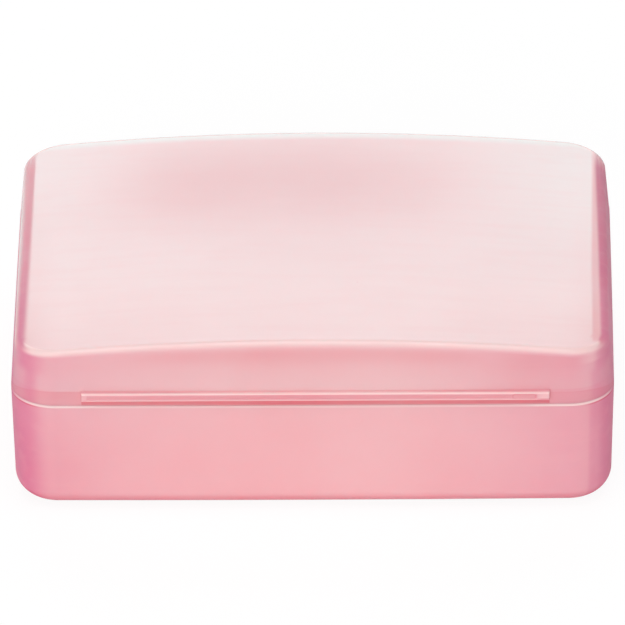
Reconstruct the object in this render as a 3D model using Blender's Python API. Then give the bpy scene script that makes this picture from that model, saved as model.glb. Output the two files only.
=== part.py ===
"""A hinged soap case in milky pink plastic, closed, with a lift-out drain tray.

Metres, +Z up. The front, with the finger lip, faces -Y, and the hinges are at +Y.
The origin is on the table, under the middle of the case's footprint.
"""

import math

import bmesh
import bpy
import numpy as np

# Outer form
CASE_WIDTH = 0.110
CASE_DEPTH = 0.080
BASE_HEIGHT = 0.022
LID_HEIGHT = 0.013
CORNER_RADIUS = 0.0083
LEAST_CORNER = 0.0012
FRONT_BOW = 0.0003
SIDE_BOW = 0.0001
CROWN_RADIUS = 0.514

# Base shell
BASE_WALL = 0.0020
BASE_FLOOR = 0.0021
BASE_DRAFT = 0.00043
BASE_FILLET = 0.0046
BASE_INNER_FILLET = 0.0030
RIM_ROUND = 0.00035
FOOT_BAND = 0.0050
FOOT_RECESS = 0.0005
FOOT_SLOPE = 0.0004

# Lap joint between the shells
UPSTAND_HEIGHT = 0.0033
UPSTAND_WALL = 0.0011
UPSTAND_ROUND = 0.0003
JOGGLE_DROP = 0.0010
JOGGLE_SLOPE = 0.0009
SKIRT_WALL = 0.0012
LAP_CLEARANCE = 0.0003
PARTING_GAP = 0.0003

# Lid shell
LID_WALL = 0.0018
LID_ROOF = 0.0018
LID_DRAFT = 0.0008
LID_FILLET = 0.0014
LID_INNER_FILLET = 0.0012
LID_EDGE_ROUND = 0.00025

# Finger lip on the lid's front
LIP_LENGTH = 0.0852
LIP_OFFSET = 0.0006
LIP_RISE = 0.00135
LIP_HEIGHT = 0.0015
LIP_PROUD = 0.00080
LIP_ROUND = 0.00022
LIP_ROOT = 0.0006
LIP_END_ROUND = 0.0003
LIP_GROOVE_HEIGHT = 0.00055
LIP_GROOVE_DEPTH = 0.00018
LIP_BLOCK_LEFT = 0.0009
LIP_BLOCK_RIGHT = 0.0022
LIP_GROOVE_RAMP = 0.0003

# Front catch, a bead on the upstand and a groove in the skirt
CATCH_LENGTH = 0.024
CATCH_RISE = 0.0019
CATCH_HEIGHT = 0.0009
CATCH_CLEARANCE = 0.0001
CATCH_GROOVE_DEPTH = 0.00020
CATCH_ROOT = 0.0005

# Hinges
HINGE_SPACING = 0.054
PIN_RADIUS = 0.0008
PIN_CLEARANCE = 0.0001
PIN_CHAMFER = 0.0002
PIN_END_INSET = 0.0001
KNUCKLE_WALL = 0.0010
KNUCKLE_GAP = 0.00035
KNUCKLE_ROOT = 0.0009
KNUCKLE_SIDE_GAP = 0.0003
BASE_KNUCKLE_WIDTH = 0.0030
LID_KNUCKLE_WIDTH = 0.0050
KNUCKLE_STEP = 0.00045
BASE_KNUCKLE_REACH = 0.0055
LID_KNUCKLE_REACH = 0.0044
HEEL_TOP = 0.0003
HEEL_HEIGHT = 0.0010
HEEL_CLEARANCE = 0.0001
OPEN_ANGLE = math.radians(110)

# Drain tray
TRAY_CLEARANCE = 0.0005
TRAY_WALL = 0.0012
TRAY_PLATE = 0.0014
TRAY_RIM = 0.0030
TRAY_ROUND = 0.0005
TRAY_LEG_HEIGHT = 0.0036
TRAY_LEG_RADIUS = 0.0025
TRAY_LEG_MARGIN = 0.0060
SEAT_GAP = 0.0003
SLOT_WIDTH = 0.0036
SLOT_PITCH = 0.0100
SLOT_MARGIN = 0.0075
RIDGE_WIDTH = 0.0018
RIDGE_HEIGHT = 0.0012
RIDGE_TOP_WIDTH = 0.0008

# How far a cutter runs past what it cuts, and a joined form into what carries it
OVERRUN = 0.0010

# Counts of facets
SIDE_STEPS = 3
CORNER_STEPS = 7
LONG_STEPS = 7
FILLET_STEPS = 5
SMALL_STEPS = 2
ROUND_STEPS = 16
LEG_STEPS = 20
LIP_STEPS = 14
CATCH_STEPS = 4

# Places that follow from the sizes
RIM_LEDGE = SKIRT_WALL + LAP_CLEARANCE
UPSTAND_INSET = RIM_LEDGE + UPSTAND_WALL
UPSTAND_TOP = BASE_HEIGHT + UPSTAND_HEIGHT
LID_BOTTOM = BASE_HEIGHT + PARTING_GAP
LAP_TOP = UPSTAND_TOP + PARTING_GAP
LID_TOP = BASE_HEIGHT + LID_HEIGHT
KNUCKLE_RADIUS = PIN_RADIUS + PIN_CLEARANCE + KNUCKLE_WALL
AXIS_STANDOFF = KNUCKLE_RADIUS + KNUCKLE_GAP
AXIS_Y = CASE_DEPTH / 2 + FRONT_BOW + AXIS_STANDOFF
AXIS_Z = BASE_HEIGHT + PARTING_GAP / 2
FRONT_REACH = CASE_DEPTH / 2 + FRONT_BOW + LIP_PROUD
REAR_REACH = AXIS_Y + KNUCKLE_RADIUS
CENTRE_SHIFT = (FRONT_REACH - REAR_REACH) / 2
TRAY_INSET = UPSTAND_INSET + TRAY_CLEARANCE
TRAY_UNDERSIDE = BASE_FLOOR + TRAY_LEG_HEIGHT
TRAY_TOP = TRAY_UNDERSIDE + TRAY_PLATE


def clear_scene():
    """Empty the scene of whatever it opened with."""
    for obj in list(bpy.data.objects):
        bpy.data.objects.remove(obj, do_unlink=True)


def plastic(name, colour, roughness):
    """A glossy moulded plastic."""
    material = bpy.data.materials.new(name)
    material.use_nodes = True
    shader = material.node_tree.nodes["Principled BSDF"]
    shader.inputs["Base Color"].default_value = (*colour, 1.0)
    shader.inputs["Roughness"].default_value = roughness
    shader.inputs["Subsurface Weight"].default_value = 0.5
    material.diffuse_color = (*colour, 1.0)
    return material


def steel(name, colour, roughness):
    """Bright drawn wire."""
    material = bpy.data.materials.new(name)
    material.use_nodes = True
    shader = material.node_tree.nodes["Principled BSDF"]
    shader.inputs["Base Color"].default_value = (*colour, 1.0)
    shader.inputs["Roughness"].default_value = roughness
    shader.inputs["Metallic"].default_value = 1.0
    material.diffuse_color = (*colour, 1.0)
    return material


# Outlines and rings
def quadrant(half_x, half_y, radius):
    """Points from the right side's middle round one corner to the back's middle."""
    side = np.linspace(0, half_y - radius, SIDE_STEPS, endpoint=False)
    turn = np.linspace(0, math.pi / 2, CORNER_STEPS + 1)
    back = np.linspace(half_x - radius, 0, LONG_STEPS + 1)[1:]
    x = np.concatenate([np.full(SIDE_STEPS, half_x), half_x - radius + radius * np.cos(turn), back])
    y = np.concatenate([side, half_y - radius + radius * np.sin(turn), np.full(LONG_STEPS, half_y)])
    return np.column_stack([x, y])


def outline(inset):
    """The case's plan outline, drawn in by inset, with its corners round and its sides bowed."""
    half_x = CASE_WIDTH / 2 - inset
    half_y = CASE_DEPTH / 2 - inset
    quarter = quadrant(half_x, half_y, max(CORNER_RADIUS - inset, LEAST_CORNER))
    ring = np.vstack([
        quarter,
        quarter[-2::-1] * (-1, 1),
        quarter[1:] * (-1, -1),
        quarter[-2:0:-1] * (1, -1),
    ])
    x = ring[:, 0]
    y = ring[:, 1]
    bowed_x = x * (1 + SIDE_BOW / half_x * (1 - (y / half_y) ** 2))
    bowed_y = y * (1 + FRONT_BOW / half_y * (1 - (x / half_x) ** 2))
    return np.column_stack([bowed_x, bowed_y])


def side_reach(x, inset):
    """How far the bowed front or back side lies from the middle, at x."""
    half_x = CASE_WIDTH / 2 - inset
    return CASE_DEPTH / 2 - inset + FRONT_BOW * (1 - (x / half_x) ** 2)


def flat_ring(inset, height):
    """The outline at one height."""
    plan = outline(inset)
    return np.column_stack([plan, np.full(len(plan), height)])


def crown_ring(inset, drop):
    """The outline on the lid's crowned top, lowered by drop."""
    plan = outline(inset)
    return np.column_stack([plan, LID_TOP - drop - plan[:, 0] ** 2 / (2 * CROWN_RADIUS)])


def quarter_turn(steps):
    """Angles from 0 to a right angle, without the two ends."""
    return np.linspace(0, math.pi / 2, steps + 1)[1:-1]


# Meshes and objects
def finish(bm, name, material=None):
    """Turn a bmesh into an object with its faces pointing out."""
    bmesh.ops.recalc_face_normals(bm, faces=bm.faces)
    mesh = bpy.data.meshes.new(name)
    bm.to_mesh(mesh)
    bm.free()
    mesh.shade_smooth()
    mesh.set_sharp_from_angle(angle=math.radians(30))
    obj = bpy.data.objects.new(name, mesh)
    bpy.context.scene.collection.objects.link(obj)
    if material:
        mesh.materials.append(material)
    return obj


def skin(bm, rings):
    """Faces between neighbouring rings; returns the rings as vertices."""
    loops = [[bm.verts.new(point) for point in ring] for ring in rings]
    count = len(loops[0])
    for near, far in zip(loops, loops[1:]):
        for i in range(count):
            j = (i + 1) % count
            bm.faces.new((near[i], near[j], far[j], far[i]))
    return loops


def flat_cap(bm, loop):
    """Close a flat ring with one face."""
    bm.faces.new(loop)


def crowned_cap(bm, loop):
    """Close a crowned ring with strips across the case, each flat, and a face at each end."""
    count = len(loop)
    half = count // 2
    end = SIDE_STEPS + CORNER_STEPS
    bm.faces.new([loop[i % count] for i in range(-end, end + 1)])
    bm.faces.new([loop[i] for i in range(half - end, half + end + 1)])
    for i in range(end, half - end):
        bm.faces.new((loop[i], loop[i + 1], loop[count - i - 1], loop[count - i]))


def prism(bm, profile, axis_values, point):
    """A closed bar: profile points (a, b) at each axis value, placed by point(value, a, b)."""
    loops = skin(bm, [[point(value, a, b) for a, b in profile] for value in axis_values])
    bm.faces.new(loops[0])
    bm.faces.new(loops[-1])


def combine(target, guide, operation):
    """Join a guide to a piece, or cut it out, and keep the guide out of the render."""
    modifier = target.modifiers.new(guide.name, "BOOLEAN")
    modifier.operation = operation
    modifier.solver = "EXACT"
    modifier.object = guide
    guide.hide_render = True
    guide.display_type = "WIRE"


def empty_at(name, location, parent=None):
    """An empty that carries a group of pieces."""
    empty = bpy.data.objects.new(name, None)
    bpy.context.scene.collection.objects.link(empty)
    empty.location = location
    empty.parent = parent
    return empty


def carry(obj, parent, offset=(0, 0, 0)):
    """Hang an object on an empty."""
    obj.parent = parent
    obj.location = offset


# Base
def base_shell(material):
    """Outer wall, rim ledge, inner upstand and inside, as one run of rings from underside to floor."""
    foot_inset = BASE_DRAFT + BASE_FILLET
    rings = [
        flat_ring(foot_inset + FOOT_BAND + FOOT_SLOPE, FOOT_RECESS),
        flat_ring(foot_inset + FOOT_BAND, 0),
        flat_ring(foot_inset, 0),
    ]
    for turn in quarter_turn(FILLET_STEPS):
        rings.append(flat_ring(foot_inset - BASE_FILLET * math.sin(turn), BASE_FILLET * (1 - math.cos(turn))))
    rings.append(flat_ring(BASE_DRAFT, BASE_FILLET))
    rings.append(flat_ring(0, BASE_HEIGHT - RIM_ROUND))
    for turn in quarter_turn(SMALL_STEPS):
        inset = RIM_ROUND * (1 - math.cos(turn))
        rings.append(flat_ring(inset, BASE_HEIGHT - RIM_ROUND * (1 - math.sin(turn))))
    rings.append(flat_ring(RIM_ROUND, BASE_HEIGHT))
    rings.append(flat_ring(RIM_LEDGE, BASE_HEIGHT))
    rings.append(flat_ring(RIM_LEDGE, UPSTAND_TOP - UPSTAND_ROUND))
    rings.append(flat_ring(RIM_LEDGE + UPSTAND_ROUND, UPSTAND_TOP))
    rings.append(flat_ring(UPSTAND_INSET - UPSTAND_ROUND, UPSTAND_TOP))
    rings.append(flat_ring(UPSTAND_INSET, UPSTAND_TOP - UPSTAND_ROUND))
    rings.append(flat_ring(UPSTAND_INSET, BASE_HEIGHT - JOGGLE_DROP))
    rings.append(flat_ring(BASE_WALL, BASE_HEIGHT - JOGGLE_DROP - JOGGLE_SLOPE))
    rings.append(flat_ring(BASE_WALL + BASE_DRAFT, BASE_FLOOR + BASE_INNER_FILLET))
    for turn in quarter_turn(FILLET_STEPS):
        inset = BASE_WALL + BASE_DRAFT + BASE_INNER_FILLET * (1 - math.cos(turn))
        rings.append(flat_ring(inset, BASE_FLOOR + BASE_INNER_FILLET * (1 - math.sin(turn))))
    rings.append(flat_ring(BASE_WALL + BASE_DRAFT + BASE_INNER_FILLET, BASE_FLOOR))
    bm = bmesh.new()
    loops = skin(bm, rings)
    flat_cap(bm, loops[0])
    flat_cap(bm, loops[-1])
    return finish(bm, "base_shell", material)


# Lid
def lid_shell(material):
    """Inside, skirt and crowned outside, as one run of rings from the roof's inside to its top."""
    inner = LID_DRAFT + LID_WALL
    rings = [crown_ring(inner + LID_INNER_FILLET, LID_ROOF)]
    for turn in quarter_turn(FILLET_STEPS):
        inset = inner + LID_INNER_FILLET * (1 - math.sin(turn))
        rings.append(crown_ring(inset, LID_ROOF + LID_INNER_FILLET * (1 - math.cos(turn))))
    rings.append(crown_ring(inner, LID_ROOF + LID_INNER_FILLET))
    rings.append(flat_ring(LID_WALL, LAP_TOP))
    rings.append(flat_ring(SKIRT_WALL, LAP_TOP))
    rings.append(flat_ring(SKIRT_WALL, LID_BOTTOM + LID_EDGE_ROUND))
    rings.append(flat_ring(SKIRT_WALL - LID_EDGE_ROUND, LID_BOTTOM))
    rings.append(flat_ring(LID_EDGE_ROUND, LID_BOTTOM))
    rings.append(flat_ring(0, LID_BOTTOM + LID_EDGE_ROUND))
    rings.append(crown_ring(LID_DRAFT, LID_FILLET))
    for turn in quarter_turn(FILLET_STEPS):
        rings.append(crown_ring(LID_DRAFT + LID_FILLET * (1 - math.cos(turn)), LID_FILLET * (1 - math.sin(turn))))
    rings.append(crown_ring(LID_DRAFT + LID_FILLET, 0))
    bm = bmesh.new()
    loops = skin(bm, rings)
    crowned_cap(bm, loops[0])
    crowned_cap(bm, loops[-1])
    return finish(bm, "lid_shell", material)


def lip_section(proud, groove):
    """The lip's section as (out from the wall, height) points, rounded in front, with its groove."""
    bottom = LID_BOTTOM + LIP_RISE
    top = bottom + LIP_HEIGHT
    middle = (bottom + top) / 2
    low = middle - LIP_GROOVE_HEIGHT / 2
    high = middle + LIP_GROOVE_HEIGHT / 2
    return [
        (-LIP_ROOT, bottom),
        (proud - LIP_ROUND, bottom),
        (proud, bottom + LIP_ROUND),
        (proud, low),
        (proud - groove, low + groove),
        (proud - groove, high - groove),
        (proud, high),
        (proud, top - LIP_ROUND),
        (proud - LIP_ROUND, top),
        (-LIP_ROOT, top),
    ]


def finger_lip():
    """A low bar along the lid's front that follows the wall's bow, with a groove along its face."""
    left = LIP_OFFSET - LIP_LENGTH / 2
    right = LIP_OFFSET + LIP_LENGTH / 2
    groove_left = left + LIP_BLOCK_LEFT
    groove_right = right - LIP_BLOCK_RIGHT
    stations = [
        (left, LIP_PROUD - LIP_END_ROUND, 0),
        (left + LIP_END_ROUND, LIP_PROUD, 0),
        (groove_left, LIP_PROUD, 0),
    ]
    inner_left = groove_left + LIP_GROOVE_RAMP
    inner_right = groove_right - LIP_GROOVE_RAMP
    stations += [(x, LIP_PROUD, LIP_GROOVE_DEPTH) for x in np.linspace(inner_left, inner_right, LIP_STEPS + 1)]
    stations += [
        (groove_right, LIP_PROUD, 0),
        (right - LIP_END_ROUND, LIP_PROUD, 0),
        (right, LIP_PROUD - LIP_END_ROUND, 0),
    ]
    bm = bmesh.new()
    rings = [
        [(x, -side_reach(x, 0) - out, height) for out, height in lip_section(proud, groove)]
        for x, proud, groove in stations
    ]
    loops = skin(bm, rings)
    bm.faces.new(loops[0])
    bm.faces.new(loops[-1])
    return finish(bm, "finger_lip_form")


# Catch
def catch_bar(name, inset, outer, inner):
    """A bar along the front at a wall's inset face, from inner behind it to outer before it."""
    middle = BASE_HEIGHT + CATCH_RISE
    half = CATCH_HEIGHT / 2
    profile = [
        (-inner, middle - half),
        (0, middle - half),
        (outer, middle - half / 2),
        (outer, middle + half / 2),
        (0, middle + half),
        (-inner, middle + half),
    ]
    bm = bmesh.new()
    stations = np.linspace(-CATCH_LENGTH / 2, CATCH_LENGTH / 2, CATCH_STEPS + 1)
    prism(bm, profile, stations, lambda x, out, height: (x, -side_reach(x, inset) - out, height))
    return finish(bm, name)


def catch_bead():
    """The bead on the upstand's front, just clear of the skirt."""
    return catch_bar("catch_bead_form", RIM_LEDGE, LAP_CLEARANCE - CATCH_CLEARANCE, CATCH_ROOT)


def catch_groove():
    """The groove in the skirt that the bead snaps into."""
    return catch_bar("catch_groove_form", SKIRT_WALL, CATCH_GROOVE_DEPTH, LAP_CLEARANCE / 2)


# Hinges
def tangent_angle(y, z):
    """The angle at which a line from (y, z) touches the knuckle's barrel on its far side."""
    return math.atan2(z, y) - math.acos(KNUCKLE_RADIUS / math.hypot(y, z))


def arc(start, stop):
    """Points of the barrel between two angles, about the hinge axis."""
    steps = max(2, round((stop - start) / (2 * math.pi) * ROUND_STEPS))
    angles = np.linspace(start, stop, steps + 1)
    return [(KNUCKLE_RADIUS * math.cos(a), KNUCKLE_RADIUS * math.sin(a)) for a in angles]


def swung_back(y, z):
    """Where a point of the open lid lies when the lid is closed, about the hinge axis."""
    c = math.cos(OPEN_ANGLE)
    s = math.sin(OPEN_ANGLE)
    return (y * c - z * s, y * s + z * c)


def heel_points():
    """The heel that meets the base's back wall when the lid is fully open."""
    reach = AXIS_STANDOFF - HEEL_CLEARANCE
    upper = swung_back(-reach, -HEEL_TOP)
    lower = swung_back(-reach, -HEEL_TOP - HEEL_HEIGHT)
    return [upper, lower]


def knuckle_profile(reach, heel):
    """Barrel and arm, as (y, z) about the axis, with the arm above and a heel if there is one."""
    root = -(AXIS_STANDOFF + KNUCKLE_ROOT)
    start = math.pi - math.asin(KNUCKLE_STEP / KNUCKLE_RADIUS)
    stop = 2 * math.pi + tangent_angle(root, reach)
    profile = [(root, KNUCKLE_STEP)]
    if heel:
        near, far = [math.atan2(z, y) + 2 * math.pi for y, z in heel]
        shoulder = math.acos(min(1, KNUCKLE_RADIUS / math.hypot(*heel[0])))
        far_shoulder = math.acos(min(1, KNUCKLE_RADIUS / math.hypot(*heel[1])))
        profile += arc(start, near - shoulder) + heel + arc(far + far_shoulder, stop)
    else:
        profile += arc(start, stop)
    profile.append((root, reach))
    return profile


def knuckle_centres():
    """The middle of each hinge along X."""
    return {"left": -HINGE_SPACING / 2, "right": HINGE_SPACING / 2}


def base_knuckles():
    """Two knuckles at each hinge, whose arms run down the base's back wall."""
    profile = [(y, -z) for y, z in knuckle_profile(BASE_KNUCKLE_REACH, None)]
    inner = LID_KNUCKLE_WIDTH / 2 + KNUCKLE_SIDE_GAP
    bm = bmesh.new()
    for centre in knuckle_centres().values():
        for side in (-1, 1):
            ends = [centre + side * inner, centre + side * (inner + BASE_KNUCKLE_WIDTH)]
            prism(bm, profile, ends, lambda x, y, z: (x, AXIS_Y + y, AXIS_Z + z))
    return finish(bm, "base_knuckle_form")


def lid_knuckles():
    """One knuckle at each hinge, whose arm runs up the lid's back wall, with the stop heel."""
    profile = knuckle_profile(LID_KNUCKLE_REACH, heel_points())
    bm = bmesh.new()
    for centre in knuckle_centres().values():
        ends = [centre - LID_KNUCKLE_WIDTH / 2, centre + LID_KNUCKLE_WIDTH / 2]
        prism(bm, profile, ends, lambda x, y, z: (x, AXIS_Y + y, AXIS_Z + z))
    return finish(bm, "lid_knuckle_form")


def circle(radius, steps):
    """Points of a circle as (a, b)."""
    angles = np.linspace(0, 2 * math.pi, steps, endpoint=False)
    return [(radius * math.cos(a), radius * math.sin(a)) for a in angles]


def hinge_half_width():
    """From the middle of a hinge to its outer face."""
    return LID_KNUCKLE_WIDTH / 2 + KNUCKLE_SIDE_GAP + BASE_KNUCKLE_WIDTH


def hinge_bores(name):
    """The pin holes through the knuckles of both hinges."""
    reach = hinge_half_width() + OVERRUN
    profile = circle(PIN_RADIUS + PIN_CLEARANCE, ROUND_STEPS)
    bm = bmesh.new()
    for centre in knuckle_centres().values():
        prism(bm, profile, [centre - reach, centre + reach], lambda x, y, z: (x, AXIS_Y + y, AXIS_Z + z))
    return finish(bm, name)


def hinge_pin(side, material):
    """A short wire pin through one hinge, with its ends chamfered."""
    centre = knuckle_centres()[side]
    end = hinge_half_width() - PIN_END_INSET
    stations = [
        (-end, PIN_RADIUS - PIN_CHAMFER),
        (-end + PIN_CHAMFER, PIN_RADIUS),
        (end - PIN_CHAMFER, PIN_RADIUS),
        (end, PIN_RADIUS - PIN_CHAMFER),
    ]
    bm = bmesh.new()
    rings = [
        [(centre + x, AXIS_Y + y, AXIS_Z + z) for y, z in circle(radius, ROUND_STEPS)]
        for x, radius in stations
    ]
    loops = skin(bm, rings)
    bm.faces.new(loops[0])
    bm.faces.new(loops[-1])
    return finish(bm, "hinge_pin_" + side, material)


# Drain tray
def drain_tray(material):
    """A shallow dish with a low rim."""
    rings = [
        flat_ring(TRAY_INSET + TRAY_ROUND, TRAY_UNDERSIDE),
        flat_ring(TRAY_INSET, TRAY_UNDERSIDE + TRAY_ROUND),
        flat_ring(TRAY_INSET, TRAY_TOP + TRAY_RIM - TRAY_ROUND / 2),
        flat_ring(TRAY_INSET + TRAY_ROUND / 2, TRAY_TOP + TRAY_RIM),
        flat_ring(TRAY_INSET + TRAY_WALL - TRAY_ROUND / 2, TRAY_TOP + TRAY_RIM),
        flat_ring(TRAY_INSET + TRAY_WALL, TRAY_TOP + TRAY_RIM - TRAY_ROUND / 2),
        flat_ring(TRAY_INSET + TRAY_WALL, TRAY_TOP + TRAY_ROUND),
        flat_ring(TRAY_INSET + TRAY_WALL + TRAY_ROUND, TRAY_TOP),
    ]
    bm = bmesh.new()
    loops = skin(bm, rings)
    flat_cap(bm, loops[0])
    flat_cap(bm, loops[-1])
    return finish(bm, "drain_tray", material)


def slot_places():
    """The slots' places along X, evenly about the middle."""
    room = CASE_WIDTH / 2 - TRAY_INSET - TRAY_WALL - SLOT_MARGIN
    each_side = int(room / SLOT_PITCH)
    return [SLOT_PITCH * i for i in range(-each_side, each_side + 1)]


def slot_half_length():
    """From the tray's middle to a slot's end."""
    return CASE_DEPTH / 2 - TRAY_INSET - TRAY_WALL - SLOT_MARGIN


def tray_slots():
    """Long drain slots with round ends, cut through the plate."""
    radius = SLOT_WIDTH / 2
    straight = slot_half_length() - radius
    ends = np.linspace(0, math.pi, ROUND_STEPS // 2 + 1)
    far = [(radius * math.cos(a), straight + radius * math.sin(a)) for a in ends]
    near = [(-x, -y) for x, y in far]
    bm = bmesh.new()
    for place in slot_places():
        heights = [TRAY_UNDERSIDE - OVERRUN, TRAY_TOP + OVERRUN]
        prism(bm, far + near, heights, lambda z, x, y: (place + x, y, z))
    return finish(bm, "tray_slot_form")


def tray_ridges():
    """Low ridges between the slots, which hold the soap off the plate."""
    half = RIDGE_WIDTH / 2
    half_top = RIDGE_TOP_WIDTH / 2
    foot = TRAY_TOP - TRAY_PLATE / 2
    top = TRAY_TOP + RIDGE_HEIGHT
    profile = [(-half, foot), (half, foot), (half, TRAY_TOP), (half_top, top), (-half_top, top), (-half, TRAY_TOP)]
    reach = slot_half_length()
    bm = bmesh.new()
    for left, right in zip(slot_places(), slot_places()[1:]):
        middle = (left + right) / 2
        prism(bm, profile, [-reach, reach], lambda y, x, z: (middle + x, y, z))
    return finish(bm, "tray_ridge_form")


def tray_legs():
    """Four round legs that stand on the base's floor."""
    inset = TRAY_INSET + TRAY_LEG_MARGIN
    profile = circle(TRAY_LEG_RADIUS, LEG_STEPS)
    heights = [BASE_FLOOR + SEAT_GAP, TRAY_UNDERSIDE + TRAY_PLATE / 2]
    bm = bmesh.new()
    for side in (-1, 1):
        for end in (-1, 1):
            leg_x = side * (CASE_WIDTH / 2 - inset)
            leg_y = end * (CASE_DEPTH / 2 - inset)
            prism(bm, profile, heights, lambda z, x, y: (leg_x + x, leg_y + y, z))
    return finish(bm, "tray_leg_form")


def main():
    """Build every piece and hang it where it moves."""
    clear_scene()
    shell_pink = plastic("milky_pink_plastic", (0.86, 0.42, 0.46), 0.22)
    tray_pink = plastic("tray_plastic", (0.90, 0.60, 0.62), 0.30)
    pin_steel = steel("pin_steel", (0.62, 0.61, 0.60), 0.25)

    case = empty_at("case_centre", (0, CENTRE_SHIFT, 0))
    hinge = empty_at("lid_hinge", (0, AXIS_Y, AXIS_Z), case)
    from_hinge = (0, -AXIS_Y, -AXIS_Z)

    base = base_shell(shell_pink)
    carry(base, case)
    for guide, operation in (
        (base_knuckles(), "UNION"),
        (catch_bead(), "UNION"),
        (hinge_bores("base_bore_form"), "DIFFERENCE"),
    ):
        carry(guide, case)
        combine(base, guide, operation)

    lid = lid_shell(shell_pink)
    carry(lid, hinge, from_hinge)
    for guide, operation in (
        (finger_lip(), "UNION"),
        (lid_knuckles(), "UNION"),
        (hinge_bores("lid_bore_form"), "DIFFERENCE"),
        (catch_groove(), "DIFFERENCE"),
    ):
        carry(guide, hinge, from_hinge)
        combine(lid, guide, operation)

    for side in knuckle_centres():
        carry(hinge_pin(side, pin_steel), case)

    tray = drain_tray(tray_pink)
    carry(tray, case)
    for guide, operation in (
        (tray_slots(), "DIFFERENCE"),
        (tray_ridges(), "UNION"),
        (tray_legs(), "UNION"),
    ):
        carry(guide, case)
        combine(tray, guide, operation)


main()
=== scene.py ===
"""Looks of the hinged soap case: milky pink shells, finger lip, hinges, pins and drain tray.

Shapes are worked out in millimetres about the case's own middle, front towards -Y, and turned into
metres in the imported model's frame when a mesh is made.
"""

import logging
import math
from collections.abc import Callable
from dataclasses import dataclass, field
from enum import Enum

import bmesh
import bpy
import numpy as np
from mathutils import Matrix, Vector
from mathutils.geometry import tessellate_polygon

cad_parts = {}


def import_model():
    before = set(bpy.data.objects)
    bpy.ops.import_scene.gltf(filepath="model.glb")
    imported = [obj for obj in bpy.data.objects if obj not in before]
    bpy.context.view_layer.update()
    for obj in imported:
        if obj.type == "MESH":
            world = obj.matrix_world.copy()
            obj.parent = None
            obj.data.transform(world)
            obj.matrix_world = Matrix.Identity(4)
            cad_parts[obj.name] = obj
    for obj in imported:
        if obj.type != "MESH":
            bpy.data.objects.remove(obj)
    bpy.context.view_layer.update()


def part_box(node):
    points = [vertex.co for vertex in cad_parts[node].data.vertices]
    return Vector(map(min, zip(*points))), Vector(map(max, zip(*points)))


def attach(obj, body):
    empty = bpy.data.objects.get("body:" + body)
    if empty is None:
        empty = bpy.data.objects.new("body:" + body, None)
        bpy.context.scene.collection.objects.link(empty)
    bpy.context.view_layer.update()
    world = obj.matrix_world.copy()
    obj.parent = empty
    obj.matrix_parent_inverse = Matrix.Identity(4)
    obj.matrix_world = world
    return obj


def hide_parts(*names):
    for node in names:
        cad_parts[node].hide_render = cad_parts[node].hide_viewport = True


MM = 0.001
CASE_DEPTH = 80.0
ROUND_STEPS = 5
SHARP_ANGLE = math.radians(34)
TINY = 1e-6
WATTS_SHARE = 0.25
WHITE = (1, 1, 1, 1)

Colour = tuple[float, float, float, float]
Pair = tuple[float, float]  # a soft step's start and end, or a bump's middle and width
Triple = tuple[float, float, float]
Socket = bpy.types.NodeSocket

log = logging.getLogger("soap_case")


class Body(Enum):
    """The moving bodies of the case."""

    BASE = "base"
    LID = "lid"
    TRAY = "tray"


class Slot(Enum):
    """The record's material slots."""

    SHELL = "shell_plastic"
    TRAY = "tray_plastic"
    PIN = "pin_steel"


class Mask(Enum):
    """Point attributes that the shell's plastic reads; most of them paint light and shade into its colour.
    """

    # The roof's painted sheen and reflection of the overhead light, and painted light low on the lid's wall.
    ROOF = "roof"
    # The walls' deeper tone at corners and sides, partly painted shade: deeper on the right, lighter where
    # painted light glows on the left.
    DEPTH = "wall_depth"
    # The double wall's deeper band, with painted shade and shadow round the finger lip, under the top
    # fillet, in the roof's side steps, above the parting and along the base's foot.
    LAP = "lap"
    # Painted highlights along the roof's front edge and over its front, on the lip's crest and heel line and
    # along the parting, a painted glow at the right front corner, and the lip's paler end blocks.
    EDGE = "edge"


def srgb(red: int, green: int, blue: int) -> Colour:
    """Turn an 8-bit display colour into a linear one with full alpha.

    Args:
        red: Red from 0 to 255.
        green: Green from 0 to 255.
        blue: Blue from 0 to 255.

    Returns:
        Linear red, green, blue and alpha.
    """
    shares = [value / 255 for value in (red, green, blue)]
    linear = [s / 12.92 if s <= 0.04045 else ((s + 0.055) / 1.055) ** 2.4 for s in shares]
    return (*linear, 1.0)


def smooth(values: float | np.ndarray, low: float | np.ndarray, high: float) -> np.ndarray:
    """Rise smoothly from 0 at low to 1 at high, by 3t^2 - 2t^3.

    Args:
        values: Where the step is read.
        low: Where it starts.
        high: Where it ends.

    Returns:
        The step's height at each value.
    """
    t = np.clip((values - low) / (high - low), 0, 1)
    return t * t * (3 - 2 * t)


def bell(values: float | np.ndarray, middle: float, width: float) -> np.ndarray:
    """A bump of height 1, by exp(-((v - middle) / width)^2).

    Args:
        values: Where the bump is read.
        middle: Where it is highest.
        width: How far from its middle it has fallen to 1/e.

    Returns:
        The bump's height at each value.
    """
    return np.exp(-(((values - middle) / width) ** 2))


def quarter(steps: int = ROUND_STEPS) -> np.ndarray:
    """Angles from 0 to a right angle, ends included."""
    return np.linspace(0, math.pi / 2, steps + 1)


@dataclass
class Sheet:
    """A surface in the making: rows of points round the case, with the plastic's masks on each row."""

    rows: list[np.ndarray] = field(default_factory=list)
    masks: dict[Mask, list[np.ndarray]] = field(default_factory=lambda: {m: [] for m in Mask})

    def add(self, row: np.ndarray, **values: float | np.ndarray) -> None:
        """Add one row of points.

        Args:
            row: Points of the row, one for each station.
            values: Mask values by lower-case mask name; a mask that isn't given is 0.
        """
        self.rows.append(row)
        for mask in Mask:
            value = values.get(mask.name.lower(), 0.0)
            self.masks[mask].append(np.broadcast_to(np.asarray(value, float), (len(row),)))

    def bridge(self, to: np.ndarray, steps: int, **values: float | np.ndarray) -> None:
        """Add straight rows from the last row to another, which is the last one added.

        Args:
            to: The row to reach.
            steps: How many rows to add.
            values: Mask values, as for add.
        """
        start = self.rows[-1]
        for share in np.linspace(0, 1, steps + 1)[1:]:
            self.add(start + (to - start) * share, **values)


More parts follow.
